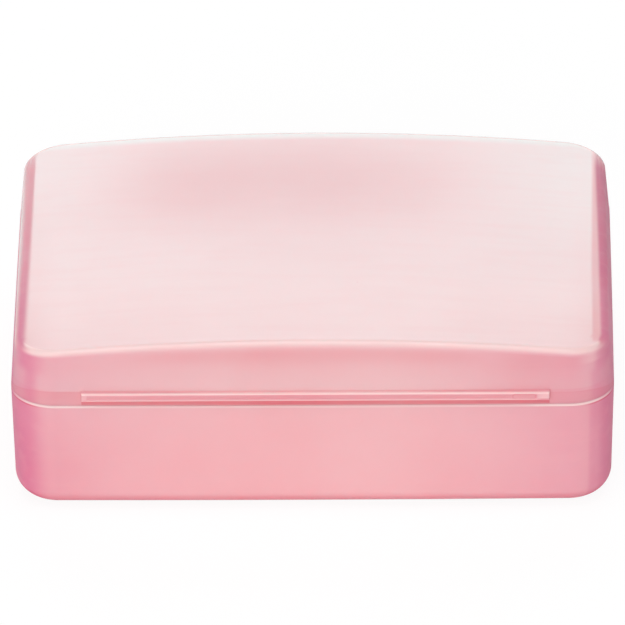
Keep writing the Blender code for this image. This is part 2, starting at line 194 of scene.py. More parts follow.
@dataclass
class Patch:
    """A surface stretched across the case between a sheet's last row and its mirror image in Y."""

    points: np.ndarray
    masks: dict[Mask, np.ndarray]

    @classmethod
    def across(cls, row: np.ndarray, steps: int) -> "Patch":
        """Stretch straight lines between each station and its mirror image, at the same x.

        Args:
            row: The closed row, which starts at the right side's middle.
            steps: How many parts each line has.

        Returns:
            The patch, as (station, step) points, with its masks at 0.
        """
        half = len(row) // 2
        back = row[1:half]
        front = row[:half:-1]
        share = np.linspace(0, 1, steps + 1)[None, :, None]
        points = back[:, None, :] * (1 - share) + front[:, None, :] * share
        return cls(points, {m: np.zeros(points.shape[:2]) for m in Mask})


def place_mesh(name: str, points: np.ndarray, faces: list, shift: float) -> bpy.types.Object:
    """Make a mesh object from points in millimetres about the case's middle.

    Args:
        name: The piece's name.
        points: Points, three columns.
        faces: Faces as lists of point numbers.
        shift: Where the case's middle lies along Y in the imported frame, in millimetres.

    Returns:
        The new object, at the origin, with its place in its mesh.
    """
    mesh = bpy.data.meshes.new(name)
    mesh.from_pydata((np.asarray(points) + (0, shift, 0)) * MM, [], faces)
    mesh.validate()
    mesh.shade_smooth()
    mesh.set_sharp_from_angle(angle=SHARP_ANGLE)
    obj = bpy.data.objects.new(name, mesh)
    bpy.context.scene.collection.objects.link(obj)
    return obj


def band_faces(first: np.ndarray, second: np.ndarray) -> np.ndarray:
    """Four-sided faces between two closed rows.

    Args:
        first: Point numbers of one row.
        second: Point numbers of the next row.

    Returns:
        Faces, one for each station.
    """
    return np.column_stack([first, np.roll(first, -1), np.roll(second, -1), second])


def zip_faces(row: np.ndarray, reverse: bool) -> list[tuple[int, ...]]:
    """Close a row by strips across the case, between each station and its mirror image in Y.

    Station j and station n - j lie at the same x, so each strip is flat where the row is flat or
    crowned along X.

    Args:
        row: Point numbers of the row, which starts at the right side's middle.
        reverse: Whether the faces turn the other way round.

    Returns:
        Faces with three or four corners.
    """
    count = len(row)
    half = count // 2
    faces = [(row[0], row[1], row[-1])]
    faces += [(row[j], row[j + 1], row[count - j - 1], row[count - j]) for j in range(1, half - 1)]
    faces.append((row[half - 1], row[half], row[half + 1]))
    return [face[::-1] for face in faces] if reverse else faces


def patch_faces(row: np.ndarray, inner: np.ndarray) -> list[tuple[int, ...]]:
    """Faces of a patch whose border is a row: the inner points between a station and its mirror image.

    Args:
        row: Point numbers of the row.
        inner: Point numbers of the patch without its two borders, one line for each pair of stations.

    Returns:
        Faces with three or four corners.
    """
    half = len(row) // 2
    lines = np.column_stack([row[1:half], inner, row[:half:-1]])
    a, b, c, d = lines[:-1, :-1], lines[1:, :-1], lines[1:, 1:], lines[:-1, 1:]
    quads = np.stack([a, b, c, d], axis=-1).reshape(-1, 4)
    first = [(row[0], near, far) for near, far in zip(lines[0, :-1], lines[0, 1:])]
    last = [(row[half], far, near) for near, far in zip(lines[-1, :-1], lines[-1, 1:])]
    return [tuple(int(n) for n in face) for face in quads.tolist() + first + last]


def sheet_object(name: str, sheet: Sheet, shift: float, roof: Patch | None = None) -> bpy.types.Object:
    """Make a closed shell from a sheet whose first and last rows are closed across the case.

    Args:
        name: The piece's name.
        sheet: Rows from the middle of one side, round the rim, to the middle of the other.
        shift: Where the case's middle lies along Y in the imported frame, in millimetres.
        roof: A finer patch for the last row; it is zipped up without one.

    Returns:
        The new object with its masks as point attributes.
    """
    grid = np.stack(sheet.rows)
    numbers = np.arange(grid[..., 0].size).reshape(grid.shape[:2])
    pairs = zip(numbers[:-1], numbers[1:])
    faces = [tuple(face) for lower, upper in pairs for face in band_faces(lower, upper).tolist()]
    faces += zip_faces(numbers[0].tolist(), True)
    points = grid.reshape(-1, 3)
    values = {mask: np.concatenate(sheet.masks[mask]) for mask in Mask}
    if roof is None:
        faces += zip_faces(numbers[-1].tolist(), False)
    else:
        inner = roof.points[:, 1:-1]
        inner_numbers = len(points) + np.arange(inner[..., 0].size).reshape(inner.shape[:2])
        faces += patch_faces(numbers[-1], inner_numbers)
        points = np.vstack([points, inner.reshape(-1, 3)])
        values = {mask: np.append(values[mask], roof.masks[mask][:, 1:-1]) for mask in Mask}
    obj = place_mesh(name, points, faces, shift)
    for mask in Mask:
        attribute = obj.data.attributes.new(mask.value, "FLOAT", "POINT")
        attribute.data.foreach_set("value", values[mask].astype(np.float32))
    return obj


@dataclass
class Solid:
    """Points and faces of one closed body."""

    points: np.ndarray
    faces: list[tuple[int, ...]]

    @classmethod
    def lofted(cls, rings: np.ndarray, ends: np.ndarray | None = None) -> "Solid":
        """Join rings one to the next, and close the ends.

        Args:
            rings: Points as (ring, point, xyz).
            ends: A middle point for each end; the last ring joins the first without them.

        Returns:
            The body, faces outward.
        """
        count, around, _ = rings.shape
        numbers = np.arange(count * around).reshape(count, around)
        points = rings.reshape(-1, 3)
        rows = [*numbers, numbers[0]] if ends is None else list(numbers)
        faces = np.concatenate([band_faces(a, b) for a, b in zip(rows[:-1], rows[1:])]).tolist()
        if ends is not None:
            points = np.vstack([points, ends])
            first = numbers[0][::-1]
            last = numbers[-1]
            for middle, ring in ((count * around, first), (count * around + 1, last)):
                fan = np.column_stack([np.full(around, middle), ring, np.roll(ring, -1)])
                faces += fan.tolist()
        return cls(points, faces).outward()

    def outward(self) -> "Solid":
        """Turn all the faces round if the volume inside them, from corner triples, is negative."""
        corners = np.array([(*face[:3], face[-1]) for face in self.faces])
        a, b, c, d = (self.points[corners[:, k]] for k in range(4))
        volume = np.sum(a * np.cross(b, c)) + np.sum(a * np.cross(c, d))
        faces = self.faces if volume > 0 else [face[::-1] for face in self.faces]
        return Solid(self.points, faces)


def solids_object(name: str, solids: list[Solid], shift: float, depth: float = 0.0) -> bpy.types.Object:
    """Make one piece of several closed bodies.

    Args:
        name: The piece's name.
        solids: The bodies.
        shift: Where the case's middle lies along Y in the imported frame, in millimetres.
        depth: How deep the plastic looks.

    Returns:
        The new object.
    """
    starts = np.cumsum([0] + [len(s.points) for s in solids])
    faces = [tuple(int(n) + int(start) for n in face)
             for solid, start in zip(solids, starts) for face in solid.faces]
    obj = place_mesh(name, np.vstack([s.points for s in solids]), faces, shift)
    attribute = obj.data.attributes.new(Mask.DEPTH.value, "FLOAT", "POINT")
    attribute.data.foreach_set("value", np.full(len(obj.data.vertices), depth, np.float32))
    return obj


@dataclass(frozen=True)
class CornerTone:
    """How the plastic's tone deepens round a front corner, partly painted shade: a first step and a second
    one, by the turn along X.
    """

    first: float
    first_turn: Pair
    second: float = 0.0
    second_turn: Pair = (0.5, 0.9)
    last_turn: Pair = (0.94, 1.0)

    def at(self, turn: np.ndarray) -> np.ndarray:
        """The depth at each turn, which reaches 1 where the corner meets the side."""
        depth = self.first * smooth(turn, *self.first_turn) + self.second * smooth(turn, *self.second_turn)
        return depth + (1 - depth) * smooth(turn, *self.last_turn)


EVEN_CORNER = CornerTone(1.0, (0.10, 0.74))


@dataclass(frozen=True)
class RimShine:
    """The painted highlight along the parting: strongest where the corners start, and less past them."""

    middle: float = 0.48
    ends: float = 0.46
    ends_x: Pair = (34, 46)
    # A painted glint near the right end of the front.
    glint: float = 0.35
    glint_x: Pair = (41.8, 1.2)
    corner_fall: float = 0.40
    corner_turn: Pair = (0.55, 0.85)
    side_fall: float = 0.9
    side_turn: Pair = (0.85, 0.97)

    def at(self, x: np.ndarray, turn: np.ndarray) -> np.ndarray:
        """How strongly the line shows.

        Args:
            x: Places along X.
            turn: How far each place has turned round its corner.

        Returns:
            The line's strength at each place.
        """
        along = self.middle + self.ends * smooth(np.abs(x), *self.ends_x)
        along = along + self.glint * bell(x, *self.glint_x)
        past_corner = 1 - self.corner_fall * smooth(turn, *self.corner_turn)
        past_side = 1 - self.side_fall * smooth(turn, *self.side_turn)
        return np.minimum(along, 1) * past_corner * past_side


@dataclass
class CaseOutline:
    """The case's plan outline: round corners, long sides bowed, drawn in by any inset."""

    width: float
    depth: float
    corner: float = 8.3
    least_corner: float = 1.2
    front_bow: float = 0.3
    side_bow: float = 0.1
    crown_radius: float = 514.0
    side_steps: int = 14
    corner_steps: int = 18
    front_pitch: float = 1.6
    marks: tuple[float, ...] = ()
    mark_room: float = 0.3
    shine: RimShine = RimShine()
    # How much deeper the tone gets towards the ends of the straight sides, and the painted shade added at
    # the right end.
    end_depth: float = 0.34
    right_shade: float = 0.10
    right_span: Pair = (0.3, 0.9)

    def __post_init__(self) -> None:
        """Work out the stations: multipliers of the straight half sides and of the corner radius."""
        straight = self.width / 2 - self.corner
        even = np.linspace(-1, 1, round(2 * straight / self.front_pitch) + 1)
        marks = np.array(self.marks) / straight
        near = np.abs(even[:, None] - marks[None, :]).min(axis=1) if len(marks) else np.ones(len(even))
        keep = even[(near > self.mark_room * self.front_pitch / straight) | (np.abs(even) == 1)]
        along = np.unique(np.concatenate([keep, marks]))[::-1][1:-1]
        side = np.linspace(0, 1, self.side_steps, endpoint=False)
        turn = quarter(self.corner_steps)
        ones = np.ones_like
        upper_x = [ones(side), ones(turn), along, -ones(turn), -ones(side)]
        upper_y = [side, ones(turn), ones(along), ones(turn), side[::-1]]
        upper_cx = [ones(side), np.cos(turn), 0 * along, -np.sin(turn), -ones(side)]
        upper_cy = [0 * side, np.sin(turn), ones(along), np.cos(turn), 0 * side]
        lists = [np.concatenate(v) for v in (upper_x, upper_y, upper_cx, upper_cy)]
        mirrored = [np.concatenate([v, sign * v[-2:0:-1]]) for v, sign in zip(lists, (1, -1, 1, -1))]
        self.side_x, self.side_y, self.turn_x, self.turn_y = mirrored

    @property
    def count(self) -> int:
        """How many stations go round."""
        return len(self.side_x)

    def plan(self, inset: float | np.ndarray) -> np.ndarray:
        """Plan points of the outline drawn in by an inset.

        x and y are the straight half side times the station's multiplier, plus the corner radius times
        the corner's direction; both are then stretched by the bow, which is greatest mid-side.

        Args:
            inset: One inset, or one for each station.

        Returns:
            Points with two columns.
        """
        half_x = self.width / 2 - inset
        half_y = self.depth / 2 - inset
        radius = np.maximum(self.corner - inset, self.least_corner)
        x = self.side_x * (half_x - radius) + self.turn_x * radius
        y = self.side_y * (half_y - radius) + self.turn_y * radius
        bowed_x = x * (1 + self.side_bow / half_x * (1 - (y / half_y) ** 2))
        bowed_y = y * (1 + self.front_bow / half_y * (1 - (x / half_x) ** 2))
        return np.column_stack([bowed_x, bowed_y])

    def level(self, inset: float | np.ndarray, height: float | np.ndarray) -> np.ndarray:
        """The outline at one height, or at a height for each station."""
        return np.column_stack([self.plan(inset), np.broadcast_to(height, (self.count,))])

    def crowned(self, inset: float, top: float) -> np.ndarray:
        """The outline on a top that falls off from x = 0 by x^2 / 2R, where R is the crown radius.

        Args:
            inset: How far the outline is drawn in.
            top: Height of the crown at x = 0.

        Returns:
            Points with three columns.
        """
        plan = self.plan(inset)
        return np.column_stack([plan, top - plan[:, 0] ** 2 / (2 * self.crown_radius)])

    def front(self) -> np.ndarray:
        """Whether a station is on the front's straight side."""
        return (self.turn_x == 0) & (self.turn_y < 0)

    def front_half(self) -> np.ndarray:
        """Whether a station is on the front or a front corner."""
        return self.turn_y < 0

    def rim_shine(self) -> np.ndarray:
        """How strongly the parting's painted highlight shows at each station."""
        return self.shine.at(self.plan(0)[:, 0], np.abs(self.turn_x))

    def depth_mask(self, left: CornerTone = EVEN_CORNER, right: CornerTone = EVEN_CORNER) -> np.ndarray:
        """How deep the plastic looks along the wall, partly painted shade: least mid-front, more near
        corners, most at sides, with painted shade added at the right end.

        Args:
            left: The left front corner's tone.
            right: The right front corner's tone.

        Returns:
            The depth at each station.
        """
        turn = np.abs(self.turn_x)
        right_end = self.right_shade * smooth(self.side_x, *self.right_span) * (turn < 1)
        ends = np.minimum(self.end_depth * np.abs(self.side_x) ** 3 + right_end, 1)
        corner = np.where(self.turn_x < 0, left.at(turn), right.at(turn))
        corner = np.where(self.turn_y < 0, corner, EVEN_CORNER.at(turn))
        return ends + (1 - ends) * corner


@dataclass
class FingerLip:
    """The bar along the lid's front: a rounded section with a groove, plain end blocks and a fine oval."""

    length: float = 85.2
    offset: float = 0.6
    bottom: float = 23.62
    height: float = 1.50
    proud: float = 0.80
    edge_round: float = 0.22
    root_round: float = 0.08
    end_round: float = 0.30
    end_gap: float = 0.02
    groove_height: float = 0.55
    groove_depth: float = 0.12
    groove_slope: float = 0.10
    groove_ramp: float = 0.3
    ramp_steps: int = 3
    floor_rows: int = 5
    block_left: float = 0.9
    block_right: float = 2.2
    left_block: float = 0.4
    left_block_ramp: float = 0.15
    right_block_ramp: float = 0.1
    pill_length: float = 4.6
    pill_height: float = 0.92
    pill_inset: float = 0.1
    pill_margin: float = 0.2
    pill_moat: float = 0.10
    pill_moat_width: float = 0.09
    shade_reach: Pair = (0.14, 0.36)
    end_stations: tuple[float, ...] = (0.0, 0.03, 0.08, 0.15, 0.22)
    shade_stations: tuple[float, ...] = (0.12, 0.24, 0.36)
    face_stations: tuple[float, ...] = (0.2, 0.4)
    pill_stations: Triple = (0.5, 0.05, 0.11)

    @property
    def left(self) -> float:
        """The lip's left end."""
        return self.offset - self.length / 2

    @property
    def right(self) -> float:
        """The lip's right end."""
        return self.offset + self.length / 2

    @property
    def groove_right(self) -> float:
        """Where the right end block starts."""
        return self.right - self.block_right

    @property
    def top(self) -> float:
        """Height of the lip's upper face."""
        return self.bottom + self.height

    def marks(self) -> tuple[float, ...]:
        """Places along X where the outline needs stations of its own."""
        before, after, pitch = self.pill_stations
        pill = np.arange(self.groove_right - self.pill_length - before, self.groove_right - after, pitch)
        outside = [self.end_gap, *self.shade_stations]
        inside = [*self.end_stations, self.end_round]
        groove = np.linspace(0, self.groove_ramp, self.ramp_steps + 1)
        places = [self.left - e for e in outside] + [self.right + e for e in outside]
        places += [self.left + e for e in inside] + [self.right - e for e in inside]
        places += [self.left + self.block_left + g for g in groove] + [self.groove_right - g for g in groove]
        return tuple(np.round(np.concatenate([places, pill]), 4))

    def section(self) -> list[tuple[float, float, float, float]]:
        """The section from below to above, as (out, height, groove share, wall share) of each row.

        The section runs out along the lower face, round the lower edge, up the face with the groove's two
        slopes, round the upper edge and back. Wall share 1 puts a row on the wall itself.
        """
        r = self.edge_round
        middle = self.bottom + self.height / 2
        low = middle - self.groove_height / 2
        high = middle + self.groove_height / 2
        floor = np.linspace(low + self.groove_slope, high - self.groove_slope, self.floor_rows)
        face = self.proud
        rows = [(0.0, self.bottom - self.root_round, 0.0, 1.0), (self.root_round, self.bottom, 0.0, 0.5)]
        rows += [(out, self.bottom, 0.0, 0.0) for out in self.face_stations]
        rows += [(face - r + r * math.sin(t), self.bottom + r - r * math.cos(t), 0.0, 0.0)
                 for t in quarter()]
        rows += [(face, h, 0.0, 0.0) for h in np.linspace(self.bottom + r, low, 3)[1:]]
        rows += [(face, h, 1.0, 0.0) for h in floor]
        rows += [(face, high, 0.0, 0.0)]
        rows += [(face, h, 0.0, 0.0) for h in np.linspace(high, self.top - r, 3)[1:]]
        rows += [(face - r + r * math.cos(t), self.top - r + r * math.sin(t), 0.0, 0.0)
                 for t in quarter()[1:]]
        rows += [(out, self.top, 0.0, 0.0) for out in self.face_stations[::-1]]
        rows += [(self.root_round, self.top, 0.0, 0.5), (0.0, self.top + self.root_round, 0.0, 1.0)]
        return rows

    def end_limit(self, x: np.ndarray) -> np.ndarray:
        """How far out the lip may reach at x: 0 past its ends, rounded inside them."""
        inside = np.minimum(x - self.left, self.right - x)
        e = np.clip(self.end_round - inside, 0, self.end_round)
        rounded = self.proud - self.end_round + np.sqrt(self.end_round ** 2 - e ** 2)
        return np.where(inside < -self.end_gap / 2, 0.0, rounded)

    def groove_at(self, x: np.ndarray) -> np.ndarray:
        """The groove's depth along X, with a ramp at each end; on the right it stops short of the oval."""
        start = self.left + self.block_left
        stop = self.groove_right - self.pill_length
        rise = smooth(x, start, start + self.groove_ramp)
        return self.groove_depth * rise * (1 - smooth(x, stop - self.groove_ramp, stop))

    def block_at(self, x: np.ndarray) -> np.ndarray:
        """How plain and pale the end blocks are: 1 on the right one, less on the left, 0 between them."""
        start = self.left + self.block_left
        left = self.left_block - self.left_block * smooth(x, start, start + self.left_block_ramp)
        soft = self.right_block_ramp
        return np.maximum(left, smooth(x, self.groove_right - soft, self.groove_right + soft))

    def end_shade(self, x: np.ndarray) -> np.ndarray:
        """A narrow painted shade on the wall right beside the lip's ends."""
        past = np.maximum(self.left - x, x - self.right)
        return np.where(past > 0, 1 - smooth(past, *self.shade_reach), 0.0)

    def moat_at(self, x: np.ndarray, height: float) -> np.ndarray:
        """Depth of the fine line round the oval, by distance from the oval's outline.

        Args:
            x: Places along X.
            height: Height of the row.

        Returns:
            The line's depth at each place.
        """
        radius = self.pill_height / 2
        middle = self.groove_right - self.pill_length / 2 - self.pill_inset
        straight = self.pill_length / 2 - radius - self.pill_margin
        across = np.maximum(np.abs(x - middle) - straight, 0)
        distance = np.hypot(across, height - self.bottom - self.height / 2) - radius
        return self.pill_moat * bell(distance, 0, self.pill_moat_width)


@dataclass(frozen=True)
class EdgeRamp:
    """A soft step across one side edge of the roof, whose place and width change from front to back."""

    start: Triple
    spread: Triple
    places: Triple = (-33.0, 0.0, 28.0)

    def at(self, y: np.ndarray, past: np.ndarray) -> np.ndarray:
        """How far the step has risen.

        Args:
            y: Where along the side.
            past: Distance in from the fillet's end, in millimetres.

        Returns:
            0 outside the step to 1 inside it.
        """
        start = np.interp(y, self.places, self.start)
        spread = np.interp(y, self.places, self.spread)
        return smooth((past - start) / spread, 0.0, 1.0)


@dataclass
class RoofTones:
    """How the lid's plastic looks on the roof, along its side edges and over the top fillet: painted sheen
    and reflection on the roof, painted highlights and a painted glow along its edges, painted light on the
    side fillets and painted shade in the deep side strips.

    Spans named x or y are in millimetres along that axis, spans named turn follow the fillet or the
    corner round, and spans named past count inwards from the fillet's end.
    """

    outline: CaseOutline
    edge_inset: float
    # The roof's painted sheen: a level, more at the back corners, less in a patch behind the middle, at the
    # front and at the front of the sides.
    level: float = 0.44
    corner_left: float = 0.17
    corner_right: float = 0.29
    corner_x: Pair = (22, 50)
    corner_y: Pair = (-20, 32)
    sheen_gap: float = 0.27
    sheen_gap_middle: Pair = (-9, 20)
    sheen_gap_reach: Pair = (36, 21)
    front_dim: float = 0.11
    front_dim_ends: float = 0.07
    front_dim_x: Pair = (12, 45)
    front_dim_y: Pair = (12, 38)
    side_dim: float = 0.14
    side_dim_x: Pair = (45, 52.5)
    side_dim_y: Pair = (-30, 20)
    # Where the painted sheen rises to full along the back edge, as a painted reflection.
    rim_glow_y: Pair = (35.6, 37.7)
    # A painted highlight over the roof's front.
    front_highlight_share: float = 0.18
    front_highlight_y: Pair = (0, 28)
    pale_left: EdgeRamp = EdgeRamp((-0.25, 0.15, 0.44), (1.45, 1.08, 0.66))
    pale_right: EdgeRamp = EdgeRamp((1.44, 1.13, 0.70), (0.60, 0.75, 0.72))
    face_right: EdgeRamp = EdgeRamp((-0.18, -0.14, 0.06), (0.75, 0.75, 0.75))
    front_corner_y: Pair = (31.5, 34.5)
    lift: float = 0.95
    lift_past: Pair = (-0.82, -0.32)
    lift_turn: Pair = (0.93, 0.985)
    lift_inside: Pair = (0.1, 1.0)
    left_turn: Pair = (0.56, 0.92)
    right_turn: float = 0.55
    right_delay: float = 0.30
    right_past: Pair = (-1.0, -0.4)
    right_inside: Pair = (0.0, 0.8)
    back_fade: float = 0.5
    back_fade_y: Pair = (28, 38)
    # Painted shade in the step between the side's deep tone and the roof's sheen.
    step_shade_tone: float = 0.05
    step_shade: float = 0.27
    step_y: Pair = (12, 30)
    step_end_y: Pair = (34.4, 35.6)
    step_margin: float = 0.15
    roof_turn: Pair = (0.12, 0.80)
    side_turn: Pair = (0.80, 1.0)
    # Painted light on the side fillets: a glow that takes their deep tone away, and paler light on the left.
    left_dim: float = 0.75
    left_dim_y: Pair = (31, 36)
    left_glow: float = 0.90
    left_glow_turn: Pair = (0.5, 1.25)
    right_glow: float = 0.12
    right_glow_turn: Pair = (0.1, 0.6)
    wall_glow: float = 0.38
    left_pale: float = 0.53
    left_pale_turn: Pair = (0.5, 1.5)
    left_pale_y: Pair = (-30, 8)
    back_dim: float = 0.35
    back_dim_y: Pair = (10, 28)
    # The painted highlight along the roof's front edge.
    line: float = 0.8
    line_turn: Pair = (0.28, 0.86)
    line_end: Pair = (1.44, 1.57)
    left_line: float = 0.22
    left_line_x: Pair = (42, 48)
    # A painted glow at the right front corner.
    painted_glow: float = 0.26
    painted_glow_place: Pair = (0.56, 0.19)
    painted_glow_turn: Pair = (0.3, 0.8)

    def paleness(self, points: np.ndarray) -> np.ndarray:
        """The roof's painted sheen and reflection: more towards its back corners, less behind its middle, at
        its front and at the front of its sides, and full along its back edge.

        Args:
            points: Roof points.

        Returns:
            The roof mask at each point.
        """
        x, y = points[..., 0], points[..., 1]
        corner = np.where(x > 0, self.corner_right, self.corner_left)
        corners = smooth(np.abs(x), *self.corner_x) * smooth(y, *self.corner_y) * corner
        across = (x - self.sheen_gap_middle[0]) / self.sheen_gap_reach[0]
        along = (y - self.sheen_gap_middle[1]) / self.sheen_gap_reach[1]
        sheen_gap = self.sheen_gap * np.exp(-across ** 4 - along ** 2)
        front = self.front_dim + self.front_dim_ends * smooth(np.abs(x), *self.front_dim_x)
        front = front * smooth(-y, *self.front_dim_y)
        sides = self.side_dim * smooth(np.abs(x), *self.side_dim_x) * smooth(-y, *self.side_dim_y)
        level = self.level + corners - sheen_gap - front - sides
        return level + (1 - level) * smooth(y, *self.rim_glow_y)

    def front_highlight(self, points: np.ndarray) -> np.ndarray:
        """A painted highlight over the front of the roof, in the edges' highlight colour."""
        return self.front_highlight_share * smooth(-points[..., 1], *self.front_highlight_y)

    def edge_line(self, t: float) -> np.ndarray:
        """The painted highlight along the roof's front edge, by the fillet's turn."""
        return self.line * smooth(t, *self.line_turn) * (1 - smooth(t, *self.line_end))

    def corner_painted_glow(self) -> np.ndarray:
        """A painted glow below the roof's edge at the right front corner, as a bump over its turn."""
        return self.painted_glow * bell(self.outline.turn_x, *self.painted_glow_place) * self.outline.front_half()

    def side_shares(self, row: np.ndarray, past: float) -> tuple[np.ndarray, np.ndarray, np.ndarray]:
        """How much of the side's deep tone, partly painted shade, and of the roof's painted sheen the points
        near the edges show.

        Along the sides and the back corners the tones part at a place along X; at the front corners they
        follow the fillet round, and on the right the step between them runs on a little way straight.

        Args:
            row: The row's points.
            past: The row's distance in from the fillet's end, in millimetres.

        Returns:
            The deep share, the painted shade of the step between the tones, and the share of painted sheen.
        """
        o = self.outline
        x, y = row[:, 0], row[:, 1]
        inside = o.width / 2 - self.edge_inset - np.abs(x)
        past = np.where(o.turn_y >= 0, inside, past)
        turn = np.abs(o.turn_x)
        near = smooth(-y, *self.front_corner_y)
        lifted = smooth(past, *self.lift_past) * (1 - smooth(turn, *self.lift_turn))
        lifted = lifted * near * smooth(inside, *self.lift_inside)
        left_corner = smooth(turn, *self.left_turn) * (1 - self.lift * lifted)
        delay = self.right_delay * smooth(past, *self.right_past) * near * smooth(inside, *self.right_inside)
        right_corner = smooth(turn, self.right_turn + delay, 1.0)
        front_corner = np.where(x > 0, right_corner, left_corner)
        back_corner = (o.turn_x != 0) * (1 - self.back_fade * smooth(y, *self.back_fade_y))
        side = np.where(o.turn_y >= 0, back_corner, front_corner)
        pale = np.where(x < 0, self.pale_left.at(y, past), self.pale_right.at(y, past))
        face = np.where(x < 0, pale, self.face_right.at(y, past))
        strip = side * (1 - face + self.step_shade_tone * face * (1 - pale))
        step = self.step_shade * side * face * (1 - pale) * smooth(-y, *self.step_y)
        straight = (x > 0) * (o.turn_x != 0) * (o.turn_y < 0) * (1 - smooth(-y, *self.step_end_y))
        straight = straight * (1 - self.pale_right.at(y, inside))
        straight = straight * self.face_right.at(y, inside + self.step_margin)
        strip = np.maximum(strip, self.step_shade_tone * straight)
        step = np.maximum(step, self.step_shade * straight)
        return strip, step, np.minimum(1 - side * (1 - pale), 1 - straight)

    def wall_depth(self, depth: np.ndarray) -> np.ndarray:
        """How deep the wall looks right below the fillet, partly painted shade: less where painted light
        glows on the left side.
        """
        return depth * (1 - self.wall_glow * self.left_glow * smooth(-self.outline.turn_x, *self.side_turn))

    def fillet(self, row: np.ndarray, t: float, past: float, depth: np.ndarray) -> dict[str, np.ndarray]:
        """Mask values of one row of the top fillet.

        Args:
            row: The row's points.
            t: The fillet's turn, from 0 on the wall.
            past: The row's distance in from the fillet's end, in millimetres.
            depth: How deep the plastic looks on the wall.

        Returns:
            The values by lower-case mask name.
        """
        o = self.outline
        x, y = row[:, 0], row[:, 1]
        strip, step, roofed = self.side_shares(row, past)
        over = smooth(t, *self.roof_turn)
        left = smooth(-o.turn_x, *self.side_turn) * (1 - self.left_dim * smooth(-y, *self.left_dim_y))
        right = smooth(o.turn_x, *self.side_turn)
        # Painted glow on the side fillets, and painted light on the left one.
        glow = self.left_glow * left * (1 - smooth(t, *self.left_glow_turn))
        glow = glow + self.right_glow * right * (1 - smooth(t, *self.right_glow_turn))
        painted_left_light = self.left_pale * left * (1 - smooth(t, *self.left_pale_turn)) * smooth(y, *self.left_pale_y)
        painted_left_light = painted_left_light * (1 - self.back_dim * smooth(y, *self.back_dim_y))
        line = self.edge_line(t) * (1 + self.left_line * smooth(-x, *self.left_line_x))
        line = np.maximum(line, over * self.front_highlight(row)) * roofed
        painted_glow = self.corner_painted_glow() * (1 - smooth(t, *self.painted_glow_turn))
        # Painted shade in the side strips and the step, painted sheen on the roof, painted light on the left
        # fillet, and painted highlights with the painted glow.
        return {"depth": depth * (1 - over * (1 - strip)) * (1 - glow), "lap": over * step,
                "roof": np.maximum(over * roofed * self.paleness(row), painted_left_light),
                "edge": np.maximum(line, painted_glow)}

    def border(self, row: np.ndarray, past: float, depth: np.ndarray) -> dict[str, np.ndarray]:
        """Mask values of one row of the roof's border.

        Args:
            row: The row's points.
            past: The row's distance in from the fillet's end, in millimetres.
            depth: How deep the plastic looks on the wall.

        Returns:
            The values by lower-case mask name.
        """
        strip, step, roofed = self.side_shares(row, past)
        # Painted shade in the side strips and the step, painted sheen on the roof, and a painted highlight
        # over its front.
        return {"depth": depth * strip, "lap": step, "roof": roofed * self.paleness(row),
                "edge": self.front_highlight(row) * roofed}


